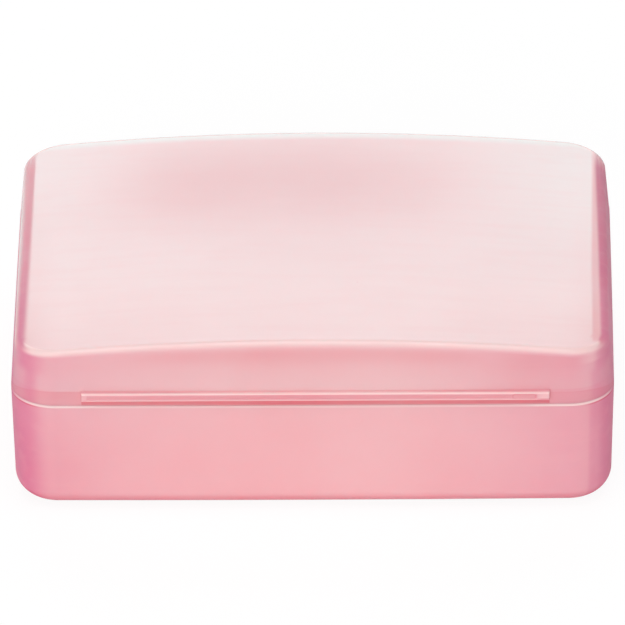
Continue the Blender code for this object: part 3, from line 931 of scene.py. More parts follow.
@dataclass
class LapShade:
    """Painted shade low on the lid's wall: the double wall's deeper band with painted shade on it, and
    painted shadows round the finger lip.

    Spans named x are in millimetres along X and spans named height in millimetres above the table.
    """

    outline: CaseOutline
    lip: FingerLip
    x: np.ndarray
    depth: np.ndarray
    level: float = 0.33
    left_more: float = 0.09
    left_rise_x: Pair = (36, 44)
    left_fall_x: Pair = (46, 50)
    upper: float = 25.02
    soft: float = 0.12
    corner_drop: float = 1.6
    right_drop: float = 0.35
    right_drop_x: Pair = (25, 46)
    line: float = 0.14
    line_drop: float = 0.10
    line_width: float = 0.13
    # Painted shade at the skirt's foot.
    foot: float = 0.12
    foot_height: Pair = (22.4, 22.9)
    deep_fade: float = 0.5
    # Painted shadow under the finger lip, and painted shade above it and beside its ends.
    under_lip_height: Pair = (22.26, 22.60)
    under_lip_overlap: float = 0.08
    above_lip: float = 0.33
    above_lip_reach: Pair = (0.04, 0.20)
    beside_lip: float = 0.45
    beside_lip_overlap: float = 0.1
    # Painted shade towards the right end of the front, stronger higher up.
    right_end_shade: float = 0.14
    right_end_shade_rise_x: Pair = (28, 40)
    right_end_shade_fall_x: Pair = (47.5, 50.5)
    right_end_shade_more: float = 0.3
    right_end_shade_more_height: Pair = (28.0, 30.5)

    def band(self, height: np.ndarray) -> np.ndarray:
        """The double wall's deeper band with painted shade on it, a darker line along its upper edge and
        painted shade at its foot.
        """
        o, x = self.outline, self.x
        shown = height + self.corner_drop * np.abs(o.turn_x) ** 3
        shown = shown + self.right_drop * smooth(x, *self.right_drop_x)
        left = self.left_more * smooth(-x, *self.left_rise_x) * (1 - smooth(-x, *self.left_fall_x))
        band = (self.level + left) * (1 - smooth(shown, self.upper - self.soft, self.upper + self.soft))
        line = self.line * bell(shown, self.upper - self.line_drop, self.line_width)
        foot = self.foot * (1 - smooth(height, *self.foot_height))
        return (band + line + foot) * (1 - self.deep_fade * np.minimum(self.depth, 1)) * o.front_half()

    def at(self, height: float | np.ndarray) -> np.ndarray:
        """How dark the wall is at a height, or at a height for each station, from the band and the painted
        shade and shadows.

        Args:
            height: The height.

        Returns:
            The mask of band and painted shade at each station.
        """
        height = np.asarray(height, float)
        lip = self.lip
        below = (1 - self.level) * smooth(height, *self.under_lip_height)
        below = below * (height < lip.bottom + self.under_lip_overlap)
        near, far = self.above_lip_reach
        above = self.above_lip * (1 - smooth(height, lip.top + near, lip.top + far))
        beside = self.beside_lip * lip.end_shade(self.x) * (height > lip.bottom)
        beside = beside * (height < lip.top + self.beside_lip_overlap)
        band = np.maximum(self.band(height), beside)
        right_end_shade = self.right_end_shade * smooth(self.x, *self.right_end_shade_rise_x) * (1 - smooth(self.x, *self.right_end_shade_fall_x))
        right_end_shade = right_end_shade * self.outline.front_half()
        right_end_shade = right_end_shade * (1 + self.right_end_shade_more * smooth(height, *self.right_end_shade_more_height))
        at_lip = self.outline.front() & (lip.end_limit(self.x) > 0)
        return np.maximum(np.where(at_lip, np.where(height < lip.top, band + below, above), band), right_end_shade)


@dataclass(frozen=True)
class LipTones:
    """How the finger lip's plastic looks: painted highlights on its crest and heel line, paler end blocks,
    painted shade on its face and round the oval, and more painted shade at its root.
    """

    # Painted shade on the lip's face and round its oval; the deeper tone on the face and at the root is
    # painted shade too.
    face_shade: float = 0.28
    moat_shade: float = 0.35
    depth: float = 0.26
    root_shade: float = 0.25
    root_height: float = 0.01
    root_out: Pair = (0.08, 0.40)
    root_middle: float = 0.35
    root_x: Pair = (8, 32)
    # Painted highlights on the crest and along the heel line, and the paler end blocks.
    crest_drop: Pair = (0.22, 0.08)
    heel: float = 0.56
    heel_place: Pair = (0.16, 0.15)
    block: float = 0.48
    block_start: float = 0.36

    def at(self, lip: FingerLip, x: np.ndarray, out: float,
           height: float) -> tuple[np.ndarray, np.ndarray, np.ndarray]:
        """Tones of one row of the lip's section.

        Args:
            lip: The lip.
            x: Places along X.
            out: How far the row stands out from the wall.
            height: The row's height.

        Returns:
            The depth, the painted shade and the painted highlight at each place.
        """
        start, end = self.crest_drop
        root = (height > lip.top - self.root_height) * (1 - smooth(out, *self.root_out))
        root = root * (self.root_middle + (1 - self.root_middle) * smooth(np.abs(x), *self.root_x))
        crest = smooth(height, lip.top - start, lip.top - end) * (1 - root)
        plain_end = lip.block_at(x)
        heel = self.heel * bell(height - lip.bottom, *self.heel_place) * (1 - plain_end)
        block = plain_end * (height > lip.bottom + self.block_start)
        moat = lip.moat_at(x, height) / lip.pill_moat
        shade = (self.face_shade + self.moat_shade * moat) * (1 - block)
        pale = np.maximum(crest + heel, self.block * block * (1 - root))
        return self.depth + self.root_shade * root, shade, pale


@dataclass
class LidShell:
    """The crowned lid: roof, walls, skirt, finger lip and catch groove, as one closed surface."""

    outline: CaseOutline
    shift: float
    lip: FingerLip
    bottom: float = 22.268
    lap_top: float = 25.6
    reveal: float = 0.05
    top: float = 35.0
    wall: float = 1.8
    roof: float = 1.8
    skirt: float = 1.2
    draft: float = 0.8
    fillet: float = 1.4
    fillet_steps: int = 14
    inner_fillet: float = 1.2
    inner_margin: float = 0.4
    inner_steps: int = 8
    lap_steps: int = 3
    edge_round: float = 0.02
    edge_steps: int = 4
    border_reach: float = 2.8
    border_step: float = 0.15
    roof_steps: int = 44
    catch_length: float = 24.0
    catch_middle: float = 23.9
    catch_height: float = 0.9
    catch_depth: float = 0.2
    catch_margin: float = 0.15
    skirt_heights: tuple[float, ...] = (22.32, 22.40, 22.50, 22.62, 22.76, 22.94, 23.14, 23.36)
    wall_heights: tuple[float, ...] = (25.24, 25.30, 25.37, 25.45, 25.55, 25.8, 26.3, 27.0, 27.6,
                                       28.2, 28.8, 29.4)
    upper_steps: int = 10
    # Tones of the front corners, low and high on the wall, partly painted shade.
    low_left: CornerTone = CornerTone(0.76, (0.30, 0.60), -0.31, (0.58, 0.82))
    low_right: CornerTone = CornerTone(0.42, (0.44, 0.58), 0.20, (0.52, 0.75))
    high_right: CornerTone = CornerTone(0.78, (0.54, 0.74), 0.16, (0.84, 0.94))
    tone_change_height: Pair = (27.2, 29.4)
    lip_tones: LipTones = LipTones()
    # A painted highlight along the skirt's lower edge.
    skirt_shine: float = 0.2
    # Painted light low on the wall, in the roof's sheen colour.
    paling: float = 0.12
    paling_height: Pair = (25.4, 31.0)
    # Painted shade below the top fillet, in the middle of the front.
    under_shade: float = 0.20
    under_shade_tone: float = 0.4
    under_x: Pair = (20, 42)
    under_rise: Pair = (0.0, 0.8)
    under_fall: float = 0.7
    under_fall_share: Pair = (0.85, 1.0)
    painted_glow_rise: Pair = (0.05, 0.5)

    def build(self) -> bpy.types.Object:
        """Run the rows from the roof's inside, down and round the skirt, up the wall and over the top."""
        o = self.outline
        tones = RoofTones(o, self.draft + self.fillet)
        depth = o.depth_mask(right=self.high_right)
        low_depth = o.depth_mask(self.low_left, self.low_right)
        inner = self.draft + self.wall
        sheet = Sheet()
        sheet.add(o.crowned(inner + self.inner_fillet + self.inner_margin, self.top - self.roof))
        for t in quarter(self.inner_steps):
            inset = inner + self.inner_fillet * (1 - math.sin(t))
            sheet.add(o.crowned(inset, self.top - self.roof - self.inner_fillet * (1 - math.cos(t))))
        sheet.bridge(o.level(self.wall, self.lap_top), self.inner_steps)
        sheet.bridge(o.level(self.skirt, self.lap_top), self.lap_steps)
        self.add_inner_skirt(sheet)
        self.add_skirt_edge(sheet, low_depth)
        self.add_outer_wall(sheet, low_depth, tones.wall_depth(depth), tones.corner_painted_glow())
        for t in quarter(self.fillet_steps)[1:]:
            inset = self.draft + self.fillet * (1 - math.cos(t))
            row = o.crowned(inset, self.top - self.fillet * (1 - math.sin(t)))
            sheet.add(row, **tones.fillet(row, t, -self.fillet * math.cos(t), depth))
        for past in np.arange(self.border_step, self.border_reach, self.border_step):
            row = o.crowned(self.draft + self.fillet + past, self.top)
            sheet.add(row, **tones.border(row, past, depth))
        roof = Patch.across(sheet.rows[-1], self.roof_steps)
        # Painted sheen over the roof patch, and a painted highlight over its front.
        roof.masks[Mask.ROOF] += tones.paleness(roof.points)
        roof.masks[Mask.EDGE] += tones.front_highlight(roof.points)
        return sheet_object("lid_skin", sheet, self.shift, roof)

    def add_inner_skirt(self, sheet: Sheet) -> None:
        """The skirt's inner face with the catch groove pressed into its front."""
        o = self.outline
        half = self.catch_height / 2
        plain = o.level(self.skirt, self.lap_top)
        in_catch = o.front() * (np.abs(plain[:, 0]) < self.catch_length / 2)
        sheet.add(o.level(self.skirt, self.catch_middle + half + self.catch_margin))
        for h, share in ((half, 0.0), (half / 2, 1.0), (-half / 2, 1.0), (-half, 0.0)):
            row = o.level(self.skirt, self.catch_middle + h)
            row[:, 1] -= self.catch_depth * share * in_catch
            sheet.add(row)

    def add_skirt_edge(self, sheet: Sheet, depth: np.ndarray) -> None:
        """The skirt's lower edge, rounded on both sides."""
        o = self.outline
        r = self.edge_round
        for t in quarter(self.edge_steps):
            sheet.add(o.level(self.skirt - r * (1 - math.cos(t)), self.bottom + r * (1 - math.sin(t))))
        # The outer rounding carries the band's painted shade and a painted highlight.
        for t in quarter(self.edge_steps):
            row = o.level(self.reveal + r * (1 - math.sin(t)), self.bottom + r * (1 - math.cos(t)))
            sheet.add(row, depth=depth, lap=LapShade.level, edge=self.skirt_shine * o.rim_shine())

    def add_outer_wall(self, sheet: Sheet, depth: np.ndarray, high_depth: np.ndarray,
                       painted_glow: np.ndarray) -> None:
        """The drafted wall, from the skirt's edge to the top fillet, with the finger lip along its front.

        A point of the plain wall at a height lies on the straight line from the skirt's edge to the
        fillet's foot. Within the lip's length, a lip row's point moves from the wall to the lip's section.

        Args:
            sheet: The sheet, which ends at the skirt's edge.
            depth: How deep the plastic looks low on the wall.
            high_depth: How deep it looks below the top fillet.
            painted_glow: The painted glow at the right front corner.
        """
        o = self.outline
        foot = sheet.rows[-1]
        head = o.crowned(self.draft, self.top - self.fillet)
        x = foot[:, 0]
        shade = LapShade(o, self.lip, x, depth)

        def wall_at(height: float) -> np.ndarray:
            """The wall's points at one height."""
            share = (height - foot[:, 2]) / (head[:, 2] - foot[:, 2])
            return foot + (head - foot) * share[:, None]

        for height in self.skirt_heights:
            sheet.add(wall_at(height), depth=depth, lap=shade.at(height))
        self.add_lip(sheet, wall_at, shade)
        # Rows up the wall, with painted light low on it in the roof's sheen colour.
        for height in self.wall_heights:
            pale = self.paling * (1 - smooth(height, *self.paling_height))
            here = depth + (high_depth - depth) * smooth(height, *self.tone_change_height)
            sheet.add(wall_at(height), depth=here, lap=shade.at(height), roof=pale * (1 - here))
        # Painted shade under the top fillet's middle, and the painted glow at the right front corner.
        start = sheet.rows[-1]
        middle = 1 - smooth(np.abs(x), *self.under_x)
        for share in np.linspace(0, 1, self.upper_steps + 1)[1:]:
            row = start + (head - start) * share
            under = self.under_shade * middle * smooth(share, *self.under_rise)
            under = under * (1 - self.under_fall * smooth(share, *self.under_fall_share))
            sheet.add(row, depth=high_depth + (1 - high_depth) * self.under_shade_tone * under,
                      lap=np.maximum(under, shade.at(row[:, 2])),
                      edge=painted_glow * smooth(share, *self.painted_glow_rise))

    def add_lip(self, sheet: Sheet, wall_at: Callable[[float], np.ndarray], shade: LapShade) -> None:
        """The lip's rows: on the wall past the lip's ends, on the lip's section between them.

        Args:
            sheet: The sheet, which ends below the lip.
            wall_at: Gives the wall's points at one height.
            shade: The wall's shade, which also holds the places along X and the plastic's depth.
        """
        o = self.outline
        x = shade.x
        limit = np.where(o.front(), self.lip.end_limit(x), 0.0)
        active = limit > 0
        groove = self.lip.groove_at(x)
        front = o.depth / 2 + o.front_bow
        section = self.lip.section()
        plain_heights = np.linspace(section[0][1], section[-1][1], len(section))
        for plain_height, (out, height, groove_share, wall_share) in zip(plain_heights, section):
            there = wall_at(height)
            on_face = (out >= self.lip.proud - TINY) * (limit >= self.lip.proud - TINY)
            out_here = np.minimum(out, limit) - groove * groove_share
            out_here = out_here - on_face * self.lip.moat_at(x, height)
            lip_y = np.minimum(-front - out_here, there[:, 1])
            lip_y = there[:, 1] * wall_share + lip_y * (1 - wall_share)
            row = wall_at(plain_height)
            row[active, 1] = lip_y[active]
            row[active, 2] = height
            # Painted shade and painted highlights on the lip's rows.
            deep, dark, pale = self.lip_tones.at(self.lip, x, out, height)
            on_lip = active * (1 - wall_share)
            sheet.add(row, depth=np.maximum(shade.depth, deep * on_lip),
                      lap=shade.at(row[:, 2]) * (1 - on_lip) + dark * on_lip, edge=pale * on_lip)


@dataclass
class BaseShell:
    """The base: underside, wall, rim ledge, upstand with catch bead, and inside, as one closed surface."""

    outline: CaseOutline
    shift: float
    height: float = 22.0
    wall: float = 2.0
    floor: float = 2.1
    draft: float = 0.43
    fillet: float = 4.6
    fillet_steps: int = 18
    wall_steps: int = 12
    inner_fillet: float = 3.0
    inner_steps: int = 12
    inner_wall_steps: int = 8
    inner_margin: float = 0.8
    rim_height: float = 22.25
    rim_round: float = 0.02
    rim_flat: Pair = (0.15, 0.4)
    # Heights of the painted highlight along the parting.
    rim_line: Pair = (21.78, 22.08)
    # A painted shadow just below that highlight, round the front corners.
    line_shadow: float = 0.5
    line_shadow_rise: Pair = (0.30, 0.55)
    line_shadow_fall: Pair = (0.92, 1.0)
    line_shadow_drops: tuple[float, float, float, float] = (0.42, 0.32, 0.12, 0.04)
    # The painted highlight carried onto the rim's rounding and ledge.
    ledge_shine: float = 0.5
    # Painted shade along the bottom fillet, towards the table.
    bottom_shade: float = 0.42
    bottom_shade_tone: float = 0.35
    bottom_turn: Pair = (0.87, 1.31)
    # The right front corner's tone, partly painted shade.
    right_corner: CornerTone = CornerTone(0.58, (0.40, 0.54), 0.42, (0.62, 0.82))
    foot_band: float = 5.0
    foot_recess: float = 0.5
    foot_slope: float = 0.4
    foot_margin: float = 1.0
    foot_steps: int = 2
    ledge: float = 1.5
    ledge_steps: int = 3
    upstand_height: float = 3.3
    upstand_wall: float = 1.1
    upstand_round: float = 0.3
    upstand_steps: int = 4
    joggle_drop: float = 1.0
    joggle_slope: float = 0.9
    joggle_steps: int = 2
    bead_length: float = 24.0
    bead_rise: float = 1.9
    bead_height: float = 0.9
    bead_proud: float = 0.2

    def build(self) -> bpy.types.Object:
        """Run the rows from the underside's middle, up the wall, over rim and upstand, to the floor."""
        depth = self.outline.depth_mask(right=self.right_corner)
        sheet = Sheet()
        self.add_foot(sheet, depth)
        self.add_rim(sheet, depth)
        self.add_upstand(sheet)
        self.add_inside(sheet)
        return sheet_object("base_skin", sheet, self.shift)

    def add_foot(self, sheet: Sheet, depth: np.ndarray) -> None:
        """The recessed underside, the standing band and the bottom fillet, with painted shade darkening the
        fillet towards the table.
        """
        o = self.outline
        foot = self.draft + self.fillet
        recess = foot + self.foot_band + self.foot_slope
        sheet.add(o.level(recess + self.foot_margin, self.foot_recess))
        sheet.add(o.level(recess, self.foot_recess))
        sheet.bridge(o.level(foot + self.foot_band, 0), self.foot_steps)
        sheet.bridge(o.level(foot, 0), self.foot_steps)
        for t in quarter(self.fillet_steps)[1:]:
            row = o.level(foot - self.fillet * math.sin(t), self.fillet * (1 - math.cos(t)))
            shade = 1 - smooth(t, *self.bottom_turn)
            deeper = depth + (1 - depth) * self.bottom_shade_tone * shade
            sheet.add(row, depth=deeper, lap=self.bottom_shade * shade)

    def add_rim(self, sheet: Sheet, depth: np.ndarray) -> None:
        """The wall up to the rim, with a painted soft shadow and the parting's painted highlight, and the
        ledge.
        """
        o = self.outline
        low, high = self.rim_line
        wall, shadow_low, shadow_high, clear = (low - drop for drop in self.line_shadow_drops)
        turn = np.abs(o.turn_x)
        shadow = self.line_shadow * smooth(turn, *self.line_shadow_rise)
        shadow = shadow * (1 - smooth(turn, *self.line_shadow_fall)) * o.front_half()
        shown = o.rim_shine()
        sheet.bridge(o.level(0, wall), self.wall_steps, depth=depth)
        sheet.add(o.level(0, shadow_low), depth=depth, lap=shadow)
        sheet.add(o.level(0, shadow_high), depth=depth, lap=shadow)
        sheet.add(o.level(0, clear), depth=depth)
        sheet.add(o.level(0, low), depth=depth, edge=shown)
        sheet.add(o.level(0, high), depth=depth, edge=shown)
        for t in quarter():
            inset = self.rim_round * (1 - math.cos(t))
            row = o.level(inset, self.rim_height - self.rim_round * (1 - math.sin(t)))
            sheet.add(row, depth=depth, edge=self.ledge_shine * shown)
        outer, inner = self.rim_flat
        sheet.add(o.level(self.rim_round + outer, self.rim_height), edge=self.ledge_shine * shown)
        sheet.add(o.level(self.ledge - inner, self.rim_height))
        sheet.bridge(o.level(self.ledge, self.height), self.ledge_steps)

    def add_upstand(self, sheet: Sheet) -> None:
        """The upstand inside the rim, with the catch bead along its front and both top edges rounded."""
        o = self.outline
        half = self.bead_height / 2
        middle = self.height + self.bead_rise
        top = self.height + self.upstand_height
        r = self.upstand_round
        x = o.plan(self.ledge)[:, 0]
        in_bead = o.front() * (np.abs(x) < self.bead_length / 2)
        for h, share in ((-half, 0.0), (-half / 2, 1.0), (half / 2, 1.0), (half, 0.0)):
            row = o.level(self.ledge, middle + h)
            row[:, 1] -= self.bead_proud * share * in_bead
            sheet.add(row)
        for t in quarter(self.upstand_steps):
            sheet.add(o.level(self.ledge + r * (1 - math.cos(t)), top - r * (1 - math.sin(t))))
        inner = self.ledge + self.upstand_wall
        for t in quarter(self.upstand_steps):
            sheet.add(o.level(inner - r * (1 - math.sin(t)), top - r * (1 - math.cos(t))))

    def add_inside(self, sheet: Sheet) -> None:
        """The upstand's inner face, the slope to the wall, the inner wall and its fillet to the floor."""
        o = self.outline
        inner = self.wall + self.draft
        start = self.height - self.joggle_drop
        sheet.bridge(o.level(self.ledge + self.upstand_wall, start), self.ledge_steps)
        sheet.bridge(o.level(self.wall, start - self.joggle_slope), self.joggle_steps)
        sheet.bridge(o.level(inner, self.floor + self.inner_fillet), self.inner_wall_steps)
        for t in quarter(self.inner_steps)[1:]:
            inset = inner + self.inner_fillet * (1 - math.cos(t))
            sheet.add(o.level(inset, self.floor + self.inner_fillet * (1 - math.sin(t))))
        sheet.add(o.level(inner + self.inner_fillet + self.inner_margin, self.floor))


@dataclass
class Hinges:
    """The two hinges at the back: bored knuckles with arms on the walls, stop heels and wire pins."""

    shift: float
    axis_y: float = 42.55
    axis_z: float = 22.15
    spacing: float = 54.0
    radius: float = 1.9
    bore: float = 0.9
    standoff: float = 2.25
    root: float = 0.9
    step: float = 0.45
    edge: float = 0.16
    mouth: float = 0.14
    lid_width: float = 5.0
    base_width: float = 3.0
    side_gap: float = 0.3
    base_reach: float = 5.5
    lid_reach: float = 4.4
    heel_top: float = 0.3
    heel_height: float = 1.0
    heel_clearance: float = 0.1
    open_angle: float = 110.0
    pin_radius: float = 0.8
    pin_inset: float = 0.1
    pin_edge: float = 0.2
    pin_dome: float = 0.05
    pin_sides: int = 40
    pin_steps: int = 7
    arm_rows: int = 5
    mouth_steps: int = 3
    edge_steps: int = 4
    width_steps: int = 5
    end_rings: Pair = (0.2, 0.4)
    facet: float = 5.0
    sharpest: float = 0.4
    bore_stop: float = 145.0
    # How deep the knuckles' plastic looks; there the deep tone paints light on the left and shade on the
    # right.
    tone: float = 0.30

    def barrel(self, start: float, stop: float) -> np.ndarray:
        """Points of the barrel between two angles, with a step of about one facet."""
        turn = np.linspace(start, stop, max(2, round((stop - start) / math.radians(self.facet))) + 1)
        return self.radius * np.column_stack([np.cos(turn), np.sin(turn)])

    def heel_corners(self) -> np.ndarray:
        """The stop heel's corners on the closed lid: points of the back wall swung by the full turn."""
        turn = math.radians(self.open_angle)
        reach = self.standoff - self.heel_clearance
        wall = np.array([(-reach, -self.heel_top), (-reach, -self.heel_top - self.heel_height)])
        c, s = math.cos(turn), math.sin(turn)
        return wall @ np.array([(c, s), (-s, c)])

    def profile(self, reach: float, heel: bool) -> tuple[np.ndarray, np.ndarray]:
        """Barrel and arm about the hinge axis, arm upward, with a bore angle for each point.

        The barrel runs from a step under the arm, right round, to where a line to the arm's end leaves
        it. With a heel, it breaks off at two lines that run to the heel's corners.

        Args:
            reach: How high the arm goes.
            heel: Whether there is a stop heel.

        Returns:
            The profile, two columns, and the angles.
        """
        root = -(self.standoff + self.root)
        tangent = math.atan2(reach, root) - math.acos(self.radius / math.hypot(root, reach))
        start = math.pi - math.asin(self.step / self.radius)
        stop = 2 * math.pi + tangent
        if heel:
            corners = self.heel_corners()
            at = np.arctan2(corners[:, 1], corners[:, 0]) + 2 * math.pi
            off = np.arccos(self.radius / np.hypot(corners[:, 0], corners[:, 1]))
            parts = [self.barrel(start, at[0] - off[0]), corners, self.barrel(at[1] + off[1], stop)]
        else:
            parts = [self.barrel(start, stop)]
        round_part = np.vstack(parts)
        angles = np.unwrap(np.arctan2(round_part[:, 1], round_part[:, 0])) + 2 * math.pi * (start < 0)
        back = [(root, z) for z in np.linspace(reach, self.step, self.arm_rows)]
        back_angles = np.linspace(math.atan2(reach, root), math.radians(self.bore_stop), self.arm_rows)
        return np.vstack([round_part, back]), np.concatenate([angles, back_angles + 2 * math.pi])

    def drawn_in(self, profile: np.ndarray, amount: float) -> np.ndarray:
        """The profile moved inwards, each corner along the mean of its two edges' normals."""
        ahead = np.roll(profile, -1, axis=0) - profile
        normal = np.column_stack([ahead[:, 1], -ahead[:, 0]])
        normal /= np.maximum(np.linalg.norm(normal, axis=1, keepdims=True), TINY)
        before = np.roll(normal, 1, axis=0)
        share = 1 + np.sum(before * normal, axis=1, keepdims=True)
        return profile - amount * (before + normal) / np.maximum(share, self.sharpest)

    def knuckle(self, low: float, high: float, reach: float, heel: bool, way: int) -> Solid:
        """One bored knuckle: end faces, rounded edges and barrel, then back through the bore.

        Args:
            low: Its left end along X.
            high: Its right end.
            reach: How far its arm goes.
            heel: Whether it has a stop heel.
            way: 1 with the arm upward, -1 with it downward.

        Returns:
            The body.
        """
        profile, angles = self.profile(reach, heel)
        circle = np.column_stack([np.cos(angles), np.sin(angles)])
        half = [(self.mouth * (1 - math.sin(t)), circle * (self.bore + self.mouth * (1 - math.cos(t))))
                for t in quarter(self.mouth_steps)]
        half += [(self.edge * (1 - math.cos(t)), self.drawn_in(profile, self.edge * (1 - math.sin(t))))
                 for t in quarter(self.edge_steps)]
        places = np.linspace(self.edge, high - low - self.edge, self.width_steps + 1)[1:-1]
        middle = [(x, profile) for x in places]
        other = [(high - low - x, ring) for x, ring in reversed(half)]
        rings = []
        for x, ring in half + middle + other:
            place = (self.axis_y + ring[:, 0], self.axis_z + way * ring[:, 1])
            rings.append(np.column_stack([np.full(len(ring), low + x), *place]))
        return Solid.lofted(np.stack(rings))

    def centres(self) -> Pair:
        """The middle of each hinge."""
        return -self.spacing / 2, self.spacing / 2

    def base_knuckles(self) -> bpy.types.Object:
        """Two knuckles at each hinge, with arms down the base's back wall."""
        inner = self.lid_width / 2 + self.side_gap
        solids = []
        for centre in self.centres():
            for low in (centre - inner - self.base_width, centre + inner):
                solids.append(self.knuckle(low, low + self.base_width, self.base_reach, False, -1))
        return solids_object("base_knuckles", solids, self.shift, self.tone)

    def lid_knuckles(self) -> bpy.types.Object:
        """One knuckle at each hinge, with an arm up the lid's back wall and a stop heel."""
        solids = []
        for centre in self.centres():
            low = centre - self.lid_width / 2
            solids.append(self.knuckle(low, low + self.lid_width, self.lid_reach, True, 1))
        return solids_object("lid_knuckles", solids, self.shift, self.tone)

    def pin(self, name: str, centre: float) -> bpy.types.Object:
        """A wire pin: circles whose radius follows a rounded edge at each end, with slightly domed ends."""
        end = self.lid_width / 2 + self.side_gap + self.base_width - self.pin_inset
        r = self.pin_radius
        face = r - self.pin_edge
        stations = [(end - self.pin_dome * (q / face) ** 2, q) for q in self.end_rings]
        for t in quarter():
            x = end - self.pin_dome - (self.pin_edge - self.pin_dome) * (1 - math.cos(t))
            stations.append((x, face + self.pin_edge * math.sin(t)))
        stations += [(x, r) for x in np.linspace(end - self.pin_edge, 0, self.pin_steps + 1)[1:-1]]
        whole = [(x, q) for x, q in stations] + [(-x, q) for x, q in reversed(stations)]
        turn = np.linspace(0, 2 * math.pi, self.pin_sides, endpoint=False)
        rings = [np.column_stack([np.full(self.pin_sides, centre + x), self.axis_y + q * np.cos(turn),
                                  self.axis_z + q * np.sin(turn)]) for x, q in whole]
        ends = np.array([(centre + way * end, self.axis_y, self.axis_z) for way in (1, -1)])
        return solids_object(name, [Solid.lofted(np.stack(rings), ends)], self.shift)


